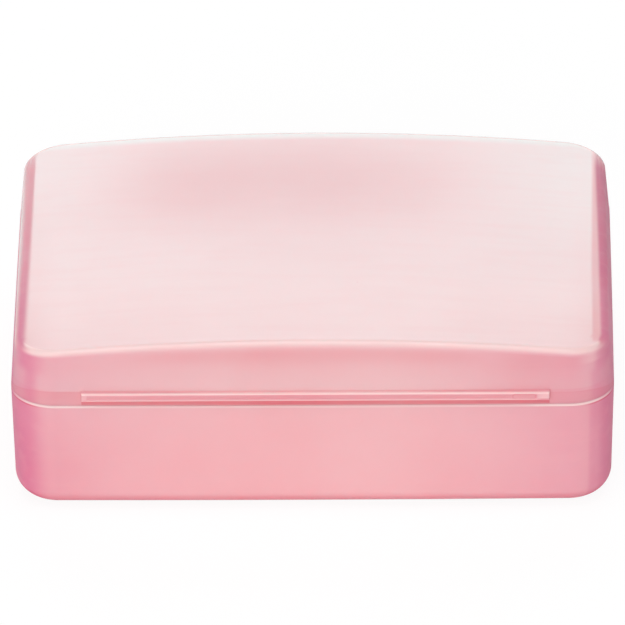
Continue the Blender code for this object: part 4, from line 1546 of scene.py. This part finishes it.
@dataclass
class DrainTray:
    """The lift-out tray: plate with long slots, rim, soap ridges and four legs."""

    outline: CaseOutline
    shift: float
    inset: float = 3.1
    wall: float = 1.2
    underside: float = 5.7
    plate: float = 1.4
    rim: float = 3.0
    edge: float = 0.5
    rim_edge: float = 0.3
    slots: int = 9
    pitch: float = 10.0
    slot_radius: float = 1.8
    slot_reach: float = 28.2
    slot_edge: float = 0.25
    slot_edge_steps: int = 4
    slot_turn_steps: int = 16
    length_steps: int = 13
    border: float = 0.15
    ridge_width: float = 1.8
    ridge_height: float = 1.2
    ridge_end: float = 1.4
    ridge_sides: int = 28
    ridge_end_steps: int = 8
    ridge_roundness: float = 0.8
    leg_radius: float = 2.5
    leg_inset: float = 9.1
    leg_foot: float = 2.4
    leg_edge: float = 0.35
    leg_flare: float = 0.5
    leg_sides: int = 48
    leg_middle: float = 0.9
    leg_sole_margin: float = 0.1
    leg_sunk: Pair = (0.3, 0.7)
    side_rows: Pair = (1.2, 2.0)

    @property
    def top(self) -> float:
        """Height of the plate's upper face."""
        return self.underside + self.plate

    def places(self) -> np.ndarray:
        """The slots' middles along X."""
        return (np.arange(self.slots) - (self.slots - 1) / 2) * self.pitch

    def shell_rows(self) -> list[np.ndarray]:
        """Rows from the underside, round the outer edge, over the rim and down to the plate."""
        o = self.outline
        rim_top = self.top + self.rim
        inner = self.inset + self.wall
        e, r = self.edge, self.rim_edge
        rows = [o.level(self.inset + e + self.border, self.underside)]
        rows += [o.level(self.inset + e * (1 - math.sin(t)), self.underside + e * (1 - math.cos(t)))
                 for t in quarter()]
        low, high = self.side_rows
        rows += [o.level(self.inset, h) for h in (self.underside + low, self.top, self.top + low)]
        rows += [o.level(self.inset + r * (1 - math.cos(t)), rim_top - r * (1 - math.sin(t)))
                 for t in quarter()]
        rows += [o.level(inner - r * (1 - math.sin(t)), rim_top - r * (1 - math.cos(t)))
                 for t in quarter()]
        rows += [o.level(inner, self.top + h) for h in (high, low)]
        rows += [o.level(inner + e * (1 - math.cos(t)), self.top + e * (1 - math.sin(t)))
                 for t in quarter()]
        rows.append(o.level(inner + e + self.border, self.top))
        return rows

    def slot_rows(self, place: float) -> list[np.ndarray]:
        """Rings of one slot from the plate's upper face to its lower one.

        Each ring is two half circles joined by straight sides; its distance from the slot's wall
        follows a quarter circle at both faces.
        """
        e = self.slot_edge
        levels = [(e + self.border, self.top)]
        edge = quarter(self.slot_edge_steps)
        levels += [(e * (1 - math.sin(t)), self.top - e * (1 - math.cos(t))) for t in edge]
        levels += [(e * (1 - math.cos(t)), self.underside + e * (1 - math.sin(t))) for t in edge]
        levels.append((e + self.border, self.underside))
        straight = self.slot_reach - self.slot_radius
        turn = np.linspace(0, math.pi, self.slot_turn_steps + 1)
        sides = np.linspace(straight, -straight, self.length_steps + 1)[1:-1]
        rows = []
        for out, height in levels:
            radius = self.slot_radius + out
            far = np.column_stack([radius * np.cos(turn), straight + radius * np.sin(turn)])
            left = np.column_stack([np.full(len(sides), -radius), sides])
            ring = np.vstack([far, left, -far, -left])
            rows.append(np.column_stack([place + ring[:, 0], ring[:, 1], np.full(len(ring), height)]))
        return rows

    def dish(self) -> bpy.types.Object:
        """Join the rim's rows and the slots' rings, and fill both faces of the plate between them."""
        groups = [self.shell_rows()] + [self.slot_rows(place) for place in self.places()]
        points = np.vstack([row for rows in groups for row in rows])
        faces: list[tuple[int, ...]] = []
        first_rows, last_rows = [], []
        start = 0
        for rows in groups:
            numbers = start + np.arange(len(rows) * len(rows[0])).reshape(len(rows), -1)
            for a, b in zip(numbers[:-1], numbers[1:]):
                faces += [tuple(face) for face in band_faces(a, b).tolist()]
            first_rows.append(numbers[0])
            last_rows.append(numbers[-1])
            start += numbers.size
        top = [last_rows[0]] + first_rows[1:]
        bottom = [first_rows[0]] + last_rows[1:]
        for loops in (top, bottom):
            order = np.concatenate(loops)
            filled = tessellate_polygon([[Vector(points[n]) for n in loop] for loop in loops])
            faces += [tuple(int(order[n]) for n in triangle) for triangle in filled]
        obj = place_mesh("tray_dish", points, faces, self.shift)
        turned = bmesh.new()
        turned.from_mesh(obj.data)
        bmesh.ops.recalc_face_normals(turned, faces=turned.faces)
        turned.to_mesh(obj.data)
        turned.free()
        return obj

    def ridges(self) -> bpy.types.Object:
        """Rounded bars between the slots, sunk in the plate; they shrink to their ends as a circle."""
        around = np.linspace(0, 2 * math.pi, self.ridge_sides, endpoint=False)
        turn = quarter(self.ridge_end_steps)[1:]
        reach = self.slot_reach
        near = reach - self.ridge_end
        ends = [(near + self.ridge_end * math.cos(t), math.sin(t)) for t in turn]
        straight = [(y, 1.0) for y in np.linspace(near, -near, self.length_steps + 1)[1:-1]]
        along = ends + straight + [(-y, s) for y, s in ends[::-1]]
        half = self.ridge_width / 2
        across = half * np.sign(np.cos(around)) * np.abs(np.cos(around)) ** self.ridge_roundness
        tall = np.sign(np.sin(around)) * np.abs(np.sin(around)) ** self.ridge_roundness
        solids = []
        for left, right in zip(self.places()[:-1], self.places()[1:]):
            middle = (left + right) / 2
            rings = []
            for y, share in along:
                height = np.where(tall > 0, tall * self.ridge_height, tall * self.plate / 2) * share
                place = (middle + across * share, np.full(self.ridge_sides, y), self.top + height)
                rings.append(np.column_stack(place))
            tips = np.array([(middle, way * reach, self.top) for way in (1, -1)])
            solids.append(Solid.lofted(np.stack(rings), tips))
        return solids_object("soap_ridges", solids, self.shift)

    def legs(self) -> bpy.types.Object:
        """Four turned legs: rounded foot, straight side and a flare under the plate."""
        r, e, f = self.leg_radius, self.leg_edge, self.leg_flare
        joint, buried = (self.underside + depth for depth in self.leg_sunk)
        stations = [(q, self.leg_foot) for q in (self.leg_middle, r - e - self.leg_sole_margin)]
        stations += [(r - e * (1 - math.sin(t)), self.leg_foot + e * (1 - math.cos(t))) for t in quarter()]
        sides = np.linspace(self.leg_foot + e, self.underside - f, ROUND_STEPS)[1:-1]
        stations += [(r, h) for h in sides]
        stations += [(r + f * (1 - math.cos(t)), self.underside - f * (1 - math.sin(t))) for t in quarter()]
        stations += [(r + f, joint), (r, buried)]
        turn = np.linspace(0, 2 * math.pi, self.leg_sides, endpoint=False)
        solids = []
        for side in (-1, 1):
            for end in (-1, 1):
                x = side * (self.outline.width / 2 - self.leg_inset)
                y = end * (self.outline.depth / 2 - self.leg_inset)
                rings = [np.column_stack([x + q * np.cos(turn), y + q * np.sin(turn), np.full(len(turn), h)])
                         for q, h in stations]
                middles = np.array([(x, y, self.leg_foot), (x, y, buried)])
                solids.append(Solid.lofted(np.stack(rings), middles))
        return solids_object("tray_legs", solids, self.shift)


class Nodes:
    """A short way to write a shader's node tree.

    A Mix node keeps its two colours and its mixed colour at the numbers held here.
    """

    first_colour = 6
    second_colour = 7
    mixed_colour = 2

    def __init__(self, tree: bpy.types.NodeTree) -> None:
        """Keep the tree that nodes are added to."""
        self.tree = tree

    def add(self, kind: str, **settings: object) -> bpy.types.Node:
        """Add a node and set its properties.

        Args:
            kind: The node's type name.
            settings: Properties of the node.

        Returns:
            The new node.
        """
        node = self.tree.nodes.new(kind)
        for name, value in settings.items():
            setattr(node, name, value)
        return node

    def link(self, source: Socket, target: Socket) -> None:
        """Link an output to an input."""
        self.tree.links.new(source, target)

    def feed(self, value: object, target: Socket) -> None:
        """Link an output to an input, or set the input to a plain value."""
        if isinstance(value, Socket):
            self.link(value, target)
        else:
            target.default_value = value

    def math(self, operation: str, a: object, b: object = 0.0, clamp: bool = False) -> Socket:
        """A Math node's result.

        Args:
            operation: Blender's name of the operation.
            a: First value or output.
            b: Second value or output.
            clamp: Whether the result is kept within 0 and 1.

        Returns:
            The result's output.
        """
        node = self.add("ShaderNodeMath", operation=operation, use_clamp=clamp)
        self.feed(a, node.inputs[0])
        self.feed(b, node.inputs[1])
        return node.outputs[0]

    def ramp(self, value: object, low: float, high: float, to_low: float = 0.0,
             to_high: float = 1.0) -> Socket:
        """A value taken smoothly from one range to another.

        Args:
            value: The value or output.
            low: Where the first range starts.
            high: Where it ends.
            to_low: What the start becomes.
            to_high: What the end becomes.

        Returns:
            The result's output.
        """
        node = self.add("ShaderNodeMapRange", interpolation_type="SMOOTHSTEP")
        self.feed(value, node.inputs["Value"])
        for name, number in (("From Min", low), ("From Max", high), ("To Min", to_low), ("To Max", to_high)):
            node.inputs[name].default_value = number
        return node.outputs["Result"]

    def mix(self, factor: object, a: object, b: object, blend: str = "MIX") -> Socket:
        """Two colours mixed by a factor.

        Args:
            factor: How much of the second colour shows.
            a: First colour or output.
            b: Second colour or output.
            blend: Blender's name of the way to blend.

        Returns:
            The colour's output.
        """
        node = self.add("ShaderNodeMix", data_type="RGBA", blend_type=blend)
        self.feed(factor, node.inputs[0])
        self.feed(a, node.inputs[self.first_colour])
        self.feed(b, node.inputs[self.second_colour])
        return node.outputs[self.mixed_colour]

    def noise(self, vector: object, scale: float, detail: float = 2.0) -> Socket:
        """Noise from 0 to 1.

        Args:
            vector: Where it is read.
            scale: Features for each metre.
            detail: How many finer layers it has.

        Returns:
            The noise's output.
        """
        node = self.add("ShaderNodeTexNoise")
        self.feed(vector, node.inputs["Vector"])
        node.inputs["Scale"].default_value = scale
        node.inputs["Detail"].default_value = detail
        return node.outputs["Fac"]


@dataclass(frozen=True)
class MouldMarks:
    """The marks of injection moulding: a cloud, flow streaks along X, specks and a soft relief.

    Scales are in features for each metre.
    """

    name: str = "moulded_plastic"
    cloud_scale: float = 34
    cloud_detail: float = 3
    streak_scale: float = 420
    streak_detail: float = 3
    streak_squeeze: Triple = (0.12, 1.0, 1.0)
    streak_span: Pair = (0.42, 0.70)
    speck_scale: float = 120
    speck_radius: Pair = (0.022, 0.045)
    speck_rarity: float = 0.90
    fine_scale: float = 900
    fine_detail: float = 2
    fine_share: float = 0.35
    broad_scale: float = 120
    broad_detail: float = 1
    broad_share: float = 0.65

    def group(self) -> bpy.types.ShaderNodeTree:
        """Build the node group once, and give the same one after that."""
        if self.name in bpy.data.node_groups:
            return bpy.data.node_groups[self.name]
        group = bpy.data.node_groups.new(self.name, "ShaderNodeTree")
        group.interface.new_socket("Vector", in_out="INPUT", socket_type="NodeSocketVector")
        for label in ("Cloud", "Streaks", "Specks", "Relief"):
            group.interface.new_socket(label, in_out="OUTPUT", socket_type="NodeSocketFloat")
        nodes = Nodes(group)
        start = nodes.add("NodeGroupInput").outputs["Vector"]
        end = nodes.add("NodeGroupOutput")
        squeezed = nodes.add("ShaderNodeMapping")
        squeezed.inputs["Scale"].default_value = self.streak_squeeze
        nodes.link(start, squeezed.inputs["Vector"])
        streaks = nodes.noise(squeezed.outputs[0], self.streak_scale, self.streak_detail)
        streaks = nodes.ramp(streaks, *self.streak_span)
        cells = nodes.add("ShaderNodeTexVoronoi")
        cells.inputs["Scale"].default_value = self.speck_scale
        nodes.link(start, cells.inputs["Vector"])
        chosen = nodes.add("ShaderNodeSeparateColor")
        nodes.link(cells.outputs["Color"], chosen.inputs[0])
        dots = nodes.ramp(cells.outputs["Distance"], *self.speck_radius, 1, 0)
        rare = nodes.math("GREATER_THAN", chosen.outputs[0], self.speck_rarity)
        fine = nodes.noise(start, self.fine_scale, self.fine_detail)
        fine = nodes.math("MULTIPLY", fine, self.fine_share)
        broad = nodes.noise(start, self.broad_scale, self.broad_detail)
        broad = nodes.math("MULTIPLY", broad, self.broad_share)
        nodes.link(nodes.noise(start, self.cloud_scale, self.cloud_detail), end.inputs["Cloud"])
        nodes.link(streaks, end.inputs["Streaks"])
        nodes.link(nodes.math("MULTIPLY", dots, rare), end.inputs["Specks"])
        nodes.link(nodes.math("ADD", fine, broad), end.inputs["Relief"])
        return group


@dataclass(frozen=True)
class MilkyPlastic:
    """Milky pink moulded plastic with light and shade painted into its colour: painted sheen on the roof,
    painted highlights on edges, a deeper tone at the sides that is partly painted shade and lighter on the
    left than on the right, and the double wall's band with painted shade and shadows.

    Spans named x or y are in metres along that axis.
    """

    name: str
    face: Colour
    roughness: float = 0.22
    # Deeper tone of thick plastic at corners and sides, partly painted shade; the side tones paint light on
    # the left and shade on the right.
    deep: Colour = srgb(224, 126, 155)
    lit_left_side: Colour = srgb(235, 164, 175)
    shaded_right_side: Colour = srgb(213, 127, 151)
    # The roof's painted sheen and reflection of the overhead light.
    pale: Colour = srgb(233, 229, 228)
    # Painted highlights along edges and over the roof's front.
    edge: Colour = srgb(255, 216, 214)
    # Multiplied in for the double wall's band and for painted shade and shadow; then a further painted
    # shadow under the finger lip.
    lap_and_shade_colour: Colour = (0.93, 0.38, 0.40, 1)
    lip_shadow_tint: Colour = (0.96, 0.965, 1.03, 1.0)
    lip_shadow_span: Pair = (0.60, 1.0)
    # Where the left side's painted light gives way to the right side's painted shade, and where the side
    # tones start behind the front.
    right_x: Pair = (-0.02, 0.02)
    behind_y: Pair = (-0.042, -0.032)
    far_y: Pair = (-0.036, 0.020)
    cloud: Colour = (0.97, 0.90, 0.90, 1)
    cloud_span: Pair = (0.30, 0.72)
    cloud_share: float = 0.10
    streak_share: float = 0.10
    streak_roughness: float = 0.05
    speck_share: float = 0.35
    subsurface: float = 0.35
    scatter: float = 0.0015
    scatter_colour: Triple = (1.0, 0.42, 0.46)
    relief: float = 0.00002
    roof_gloss: float = 1.0
    wall_gloss: float = 0.6
    gloss_span: Pair = (0.0, 0.42)
    side_gloss: float = 0.30
    right_gloss: float = 0.5
    coat_roughness: float = 0.16
    specular: float = 0.0
    ior: float = 1.5

    def material(self) -> bpy.types.Material:
        """Build the material."""
        material = bpy.data.materials.new(self.name)
        material.use_nodes = True
        nodes = Nodes(material.node_tree)
        shader = material.node_tree.nodes["Principled BSDF"]
        place = nodes.add("ShaderNodeTexCoord").outputs["Object"]
        marks = nodes.add("ShaderNodeGroup", node_tree=MouldMarks().group())
        nodes.link(place, marks.inputs["Vector"])
        mask = {m: nodes.add("ShaderNodeAttribute", attribute_name=m.value).outputs["Fac"] for m in Mask}
        along = nodes.add("ShaderNodeSeparateXYZ")
        nodes.link(place, along.inputs[0])
        right = nodes.ramp(along.outputs["X"], *self.right_x)
        behind = nodes.ramp(along.outputs["Y"], *self.behind_y)
        far = nodes.ramp(along.outputs["Y"], *self.far_y)
        nodes.link(self.colour(nodes, mask, marks, (right, behind, far)), shader.inputs["Base Color"])
        rough = nodes.math("MULTIPLY_ADD", marks.outputs["Streaks"], self.streak_roughness)
        rough.node.inputs[2].default_value = self.roughness
        nodes.link(rough, shader.inputs["Roughness"])
        bump = nodes.add("ShaderNodeBump")
        bump.inputs["Distance"].default_value = self.relief
        nodes.link(marks.outputs["Relief"], bump.inputs["Height"])
        nodes.link(bump.outputs["Normal"], shader.inputs["Normal"])
        nodes.link(self.gloss(nodes, mask, right, behind), shader.inputs["Coat Weight"])
        shader.inputs["Coat Roughness"].default_value = self.coat_roughness
        shader.inputs["Specular IOR Level"].default_value = self.specular
        shader.inputs["IOR"].default_value = self.ior
        shader.inputs["Subsurface Weight"].default_value = self.subsurface
        shader.inputs["Subsurface Radius"].default_value = self.scatter_colour
        shader.inputs["Subsurface Scale"].default_value = self.scatter
        return material

    def colour(self, nodes: Nodes, mask: dict[Mask, Socket], marks: bpy.types.Node,
               spans: tuple[Socket, ...]) -> Socket:
        """The base colour: the wall's tone by depth, partly painted shade, then the double wall's band with
        painted shade and shadows, the roof's painted sheen and the painted highlights, then the marks.

        Args:
            nodes: The material's nodes.
            mask: The masks' outputs.
            marks: The group of moulding marks.
            spans: How far right, how far behind the front and how far back a point lies, each from 0 to 1.

        Returns:
            The colour's output.
        """
        right, behind, far = spans
        # The deep tone, partly painted shade, lit on the left and shaded on the right.
        left_side = nodes.mix(far, self.deep, self.lit_left_side)
        right_side = nodes.mix(far, self.deep, self.shaded_right_side)
        deep = nodes.mix(behind, self.deep, nodes.mix(right, left_side, right_side))
        colour = nodes.mix(mask[Mask.DEPTH], self.face, deep)
        # The double wall's band and painted shade, then a painted shadow under the lip.
        colour = nodes.mix(mask[Mask.LAP], colour, self.lap_and_shade_colour, "MULTIPLY")
        colour = nodes.mix(nodes.ramp(mask[Mask.LAP], *self.lip_shadow_span), colour, self.lip_shadow_tint, "MULTIPLY")
        # Painted sheen on the roof.
        colour = nodes.mix(mask[Mask.ROOF], colour, self.pale)
        # Painted highlights.
        colour = nodes.mix(mask[Mask.EDGE], colour, self.edge)
        cloudy = nodes.ramp(marks.outputs["Cloud"], *self.cloud_span)
        cloudy = nodes.math("MULTIPLY", cloudy, self.cloud_share)
        streaky = nodes.math("MULTIPLY", marks.outputs["Streaks"], self.streak_share)
        specked = nodes.math("MULTIPLY", marks.outputs["Specks"], self.speck_share)
        colour = nodes.mix(cloudy, colour, self.cloud)
        colour = nodes.mix(streaky, colour, self.face)
        return nodes.mix(specked, colour, self.deep)

    def gloss(self, nodes: Nodes, mask: dict[Mask, Socket], right: Socket,
              behind: Socket) -> Socket:
        """The clear gloss: full on the roof, less on the walls, and little where the plastic looks deep.

        Args:
            nodes: The material's nodes.
            mask: The masks' outputs.
            right: How far right a point lies, from 0 to 1.
            behind: How far behind the front a point lies, from 0 to 1.

        Returns:
            The gloss's output.
        """
        gloss = nodes.ramp(mask[Mask.ROOF], *self.gloss_span, self.wall_gloss, self.roof_gloss)
        sides = nodes.ramp(right, 0, 1, self.side_gloss, self.side_gloss * self.right_gloss)
        kept = nodes.math("SUBTRACT", 1.0, nodes.math("MULTIPLY", behind, sides))
        dulled = nodes.math("MULTIPLY", mask[Mask.DEPTH], kept)
        return nodes.math("MULTIPLY", gloss, nodes.math("SUBTRACT", 1.0, dulled), True)


@dataclass(frozen=True)
class DrawnSteel:
    """Bright drawn wire with fine lines along it."""

    name: str = "drawn_steel"
    dark: Colour = (0.62, 0.61, 0.60, 1.0)
    bright: Colour = (0.75, 0.74, 0.73, 1)
    line_scale: float = 9000
    line_squeeze: Triple = (0.05, 1.0, 1.0)
    line_roughness: float = 0.15
    line_depth: float = 0.00001
    roughness: float = 0.24

    def material(self) -> bpy.types.Material:
        """Build the material."""
        material = bpy.data.materials.new(self.name)
        material.use_nodes = True
        nodes = Nodes(material.node_tree)
        shader = material.node_tree.nodes["Principled BSDF"]
        along = nodes.add("ShaderNodeMapping")
        along.inputs["Scale"].default_value = self.line_squeeze
        nodes.link(nodes.add("ShaderNodeTexCoord").outputs["Object"], along.inputs["Vector"])
        lines = nodes.noise(along.outputs[0], self.line_scale)
        nodes.link(nodes.mix(lines, self.dark, self.bright), shader.inputs["Base Color"])
        rough = nodes.math("MULTIPLY_ADD", lines, self.line_roughness)
        rough.node.inputs[2].default_value = self.roughness
        nodes.link(rough, shader.inputs["Roughness"])
        bump = nodes.add("ShaderNodeBump")
        bump.inputs["Distance"].default_value = self.line_depth
        nodes.link(lines, bump.inputs["Height"])
        nodes.link(bump.outputs["Normal"], shader.inputs["Normal"])
        shader.inputs["Metallic"].default_value = 1.0
        return material


def dress(obj: bpy.types.Object, material: bpy.types.Material) -> None:
    """Give a piece one material."""
    obj.data.materials.clear()
    obj.data.materials.append(material)


@dataclass(frozen=True)
class Panel:
    """A soft rectangular lamp that faces the case, in metres; gloss shows it if it is mirrored."""

    name: str
    place: Triple
    size: Pair
    radiance: float
    mirrored: bool = False

    def light(self, aim: Triple) -> None:
        """Add the lamp, with the power that gives its face the radiance, where 1 is white.

        Args:
            aim: The point that it faces.
        """
        data = bpy.data.lights.new(self.name, "AREA")
        data.shape = "RECTANGLE"
        data.size, data.size_y = self.size
        data.energy = self.radiance * self.size[0] * self.size[1] / WATTS_SHARE
        lamp = bpy.data.objects.new(self.name, data)
        bpy.context.scene.collection.objects.link(lamp)
        lamp.location = self.place
        lamp.visible_camera = False
        lamp.visible_glossy = self.mirrored
        lamp.rotation_euler = (Vector(aim) - Vector(self.place)).to_track_quat("-Z", "Y").to_euler()


BASE_PLASTIC = MilkyPlastic("milky_pink_base", srgb(245, 181, 186))
LID_PLASTIC = MilkyPlastic("milky_pink_lid", srgb(238, 181, 185))
TRAY_PLASTIC = MilkyPlastic("milky_pink_tray", srgb(246, 205, 208), roughness=0.3)

PANELS = (
    Panel("front_panel", (-0.25, -1.85, 0.60), (1.9, 0.9), 3.22),
    Panel("left_panel", (-1.70, 0.10, 0.28), (1.3, 0.5), 2.0),
    Panel("right_panel", (1.70, 0.10, 0.28), (1.3, 0.5), 1.40),
    Panel("top_panel", (0, -0.25, 1.60), (1.1, 0.8), 2.5, True),
    Panel("back_panel", (0, 1.45, 1.05), (1.5, 1.2), 1.55, True),
)


@dataclass
class Studio:
    """A white floor and world, soft panels round the case, and the camera at the photograph's angle."""

    elevation: float = 30.08
    yaw: float = 0.733
    roll: float = -0.620
    distance: float = 2334.0
    lens: float = 726.5
    sensor: float = 36.0
    sight: float = 100.0
    aim: Triple = (-0.29, 0.0, 17.49)
    ambient: float = 0.16
    floor_half: float = 6.0
    floor_drop: float = 0.05
    floor_white: Colour = (0.9, 0.9, 0.9, 1)
    floor_glow: float = 1.04
    shadow_share: float = 0.12
    panel_aim: Triple = (0, 0, 0.02)

    def camera(self) -> None:
        """Set the camera from its angle, distance and roll about its own axis."""
        e = math.radians(self.elevation)
        w = math.radians(self.yaw)
        r = math.radians(self.roll)
        back = Vector((math.sin(w) * math.cos(e), -math.cos(w) * math.cos(e), math.sin(e)))
        right = Vector((math.cos(w), math.sin(w), 0))
        up = back.cross(right)
        turned_right = right * math.cos(r) + up * math.sin(r)
        turned_up = up * math.cos(r) - right * math.sin(r)
        data = bpy.data.cameras.new("camera")
        data.lens = self.lens
        data.sensor_width = self.sensor
        data.clip_end = self.sight
        camera = bpy.data.objects.new("camera", data)
        bpy.context.scene.collection.objects.link(camera)
        turn = Matrix((turned_right, turned_up, back)).transposed().to_4x4()
        place = Vector(self.aim) * MM + back * self.distance * MM
        camera.matrix_world = Matrix.Translation(place) @ turn
        bpy.context.scene.camera = camera

    def world(self) -> None:
        """White to the camera, to gloss and through glass; a softer level for the light it gives."""
        world = bpy.data.worlds.new("studio")
        world.use_nodes = True
        bpy.context.scene.world = world
        nodes = Nodes(world.node_tree)
        background = world.node_tree.nodes["Background"]
        background.inputs["Color"].default_value = WHITE
        strength = nodes.ramp(self.seen(nodes), 0, 1, self.ambient, 1.0)
        nodes.link(strength, background.inputs["Strength"])

    def seen(self, nodes: Nodes) -> Socket:
        """1 for rays from the camera, off gloss or through glass, and 0 for light on the object."""
        path = nodes.add("ShaderNodeLightPath")
        either = nodes.math("MAXIMUM", path.outputs["Is Camera Ray"], path.outputs["Is Glossy Ray"])
        return nodes.math("MAXIMUM", either, path.outputs["Is Transmission Ray"])

    def floor(self) -> None:
        """A plain white floor just under the case, which keeps a part of the case's shadow."""
        half = self.floor_half
        low = -self.floor_drop * MM
        mesh = bpy.data.meshes.new("floor")
        corners = [(x, y, low) for x, y in ((-half, -half), (half, -half), (half, half), (-half, half))]
        mesh.from_pydata(corners, [], [(0, 1, 2, 3)])
        obj = bpy.data.objects.new("floor", mesh)
        bpy.context.scene.collection.objects.link(obj)
        material = bpy.data.materials.new("white_floor")
        material.use_nodes = True
        tree = material.node_tree
        tree.nodes.remove(tree.nodes["Principled BSDF"])
        nodes = Nodes(tree)
        matt = nodes.add("ShaderNodeBsdfDiffuse")
        matt.inputs["Color"].default_value = self.floor_white
        glow = nodes.add("ShaderNodeEmission")
        glow.inputs["Color"].default_value = WHITE
        glow.inputs["Strength"].default_value = self.floor_glow
        mixed = nodes.add("ShaderNodeMixShader")
        nodes.link(nodes.math("MULTIPLY", self.seen(nodes), 1 - self.shadow_share), mixed.inputs[0])
        nodes.link(matt.outputs[0], mixed.inputs[1])
        nodes.link(glow.outputs[0], mixed.inputs[2])
        nodes.link(mixed.outputs[0], tree.nodes["Material Output"].inputs["Surface"])
        dress(obj, material)

    def light(self) -> None:
        """Low panels in front and at the sides, and two that gloss mirrors: overhead and behind."""
        for panel in PANELS:
            panel.light(self.panel_aim)

    def build(self) -> None:
        """Set up the camera, the world, the floor and the panels."""
        self.camera()
        self.world()
        self.floor()
        self.light()


def finish_piece(obj: bpy.types.Object, material: bpy.types.Material, body: Body,
                 replaces: tuple[str, ...] = ()) -> None:
    """Dress a piece, hang it on its body, hide what it stands for and report it.

    Args:
        obj: The piece.
        material: Its finish.
        body: The body it moves with.
        replaces: CAD nodes that it stands for.
    """
    dress(obj, material)
    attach(obj, body.value)
    if replaces:
        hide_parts(*replaces)
    log.info("%s: %d faces on %s", obj.name, len(obj.data.polygons), body.value)


def main() -> None:
    """Build the pieces in order, dress them and light them."""
    logging.basicConfig(level=logging.INFO, format="%(name)s %(message)s")
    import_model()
    bpy.context.scene.view_settings.view_transform = "Standard"

    tray_low, tray_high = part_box("drain_tray")
    shift = (tray_low.y + tray_high.y) / 2 / MM
    base_low, base_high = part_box("base_shell")
    width = round((base_high.x - base_low.x) / MM - 2 * CaseOutline.side_bow, 3)

    base_plastic = BASE_PLASTIC.material()
    lid_plastic = LID_PLASTIC.material()
    tray_plastic = TRAY_PLASTIC.material()
    steel = DrawnSteel().material()

    lip = FingerLip()
    half_catch = LidShell.catch_length / 2
    catch = (-half_catch, -half_catch - lip.end_gap, half_catch, half_catch + lip.end_gap)
    outline = CaseOutline(width=width, depth=CASE_DEPTH, marks=lip.marks() + catch)
    lid = LidShell(outline, shift, lip).build()
    finish_piece(lid, lid_plastic, Body.LID, ("lid_shell",))
    base = BaseShell(outline, shift).build()
    finish_piece(base, base_plastic, Body.BASE, ("base_shell",))

    hinges = Hinges(shift)
    finish_piece(hinges.lid_knuckles(), base_plastic, Body.LID)
    finish_piece(hinges.base_knuckles(), base_plastic, Body.BASE)
    for side, centre in zip(("left", "right"), hinges.centres()):
        pin = hinges.pin("wire_pin_" + side, centre)
        finish_piece(pin, steel, Body.BASE, ("hinge_pin_" + side,))

    drain = DrainTray(CaseOutline(width=width, depth=CASE_DEPTH), shift)
    finish_piece(drain.dish(), tray_plastic, Body.TRAY, ("drain_tray",))
    finish_piece(drain.ridges(), tray_plastic, Body.TRAY)
    finish_piece(drain.legs(), tray_plastic, Body.TRAY)

    Studio().build()


if __name__ == "__main__":
    main()
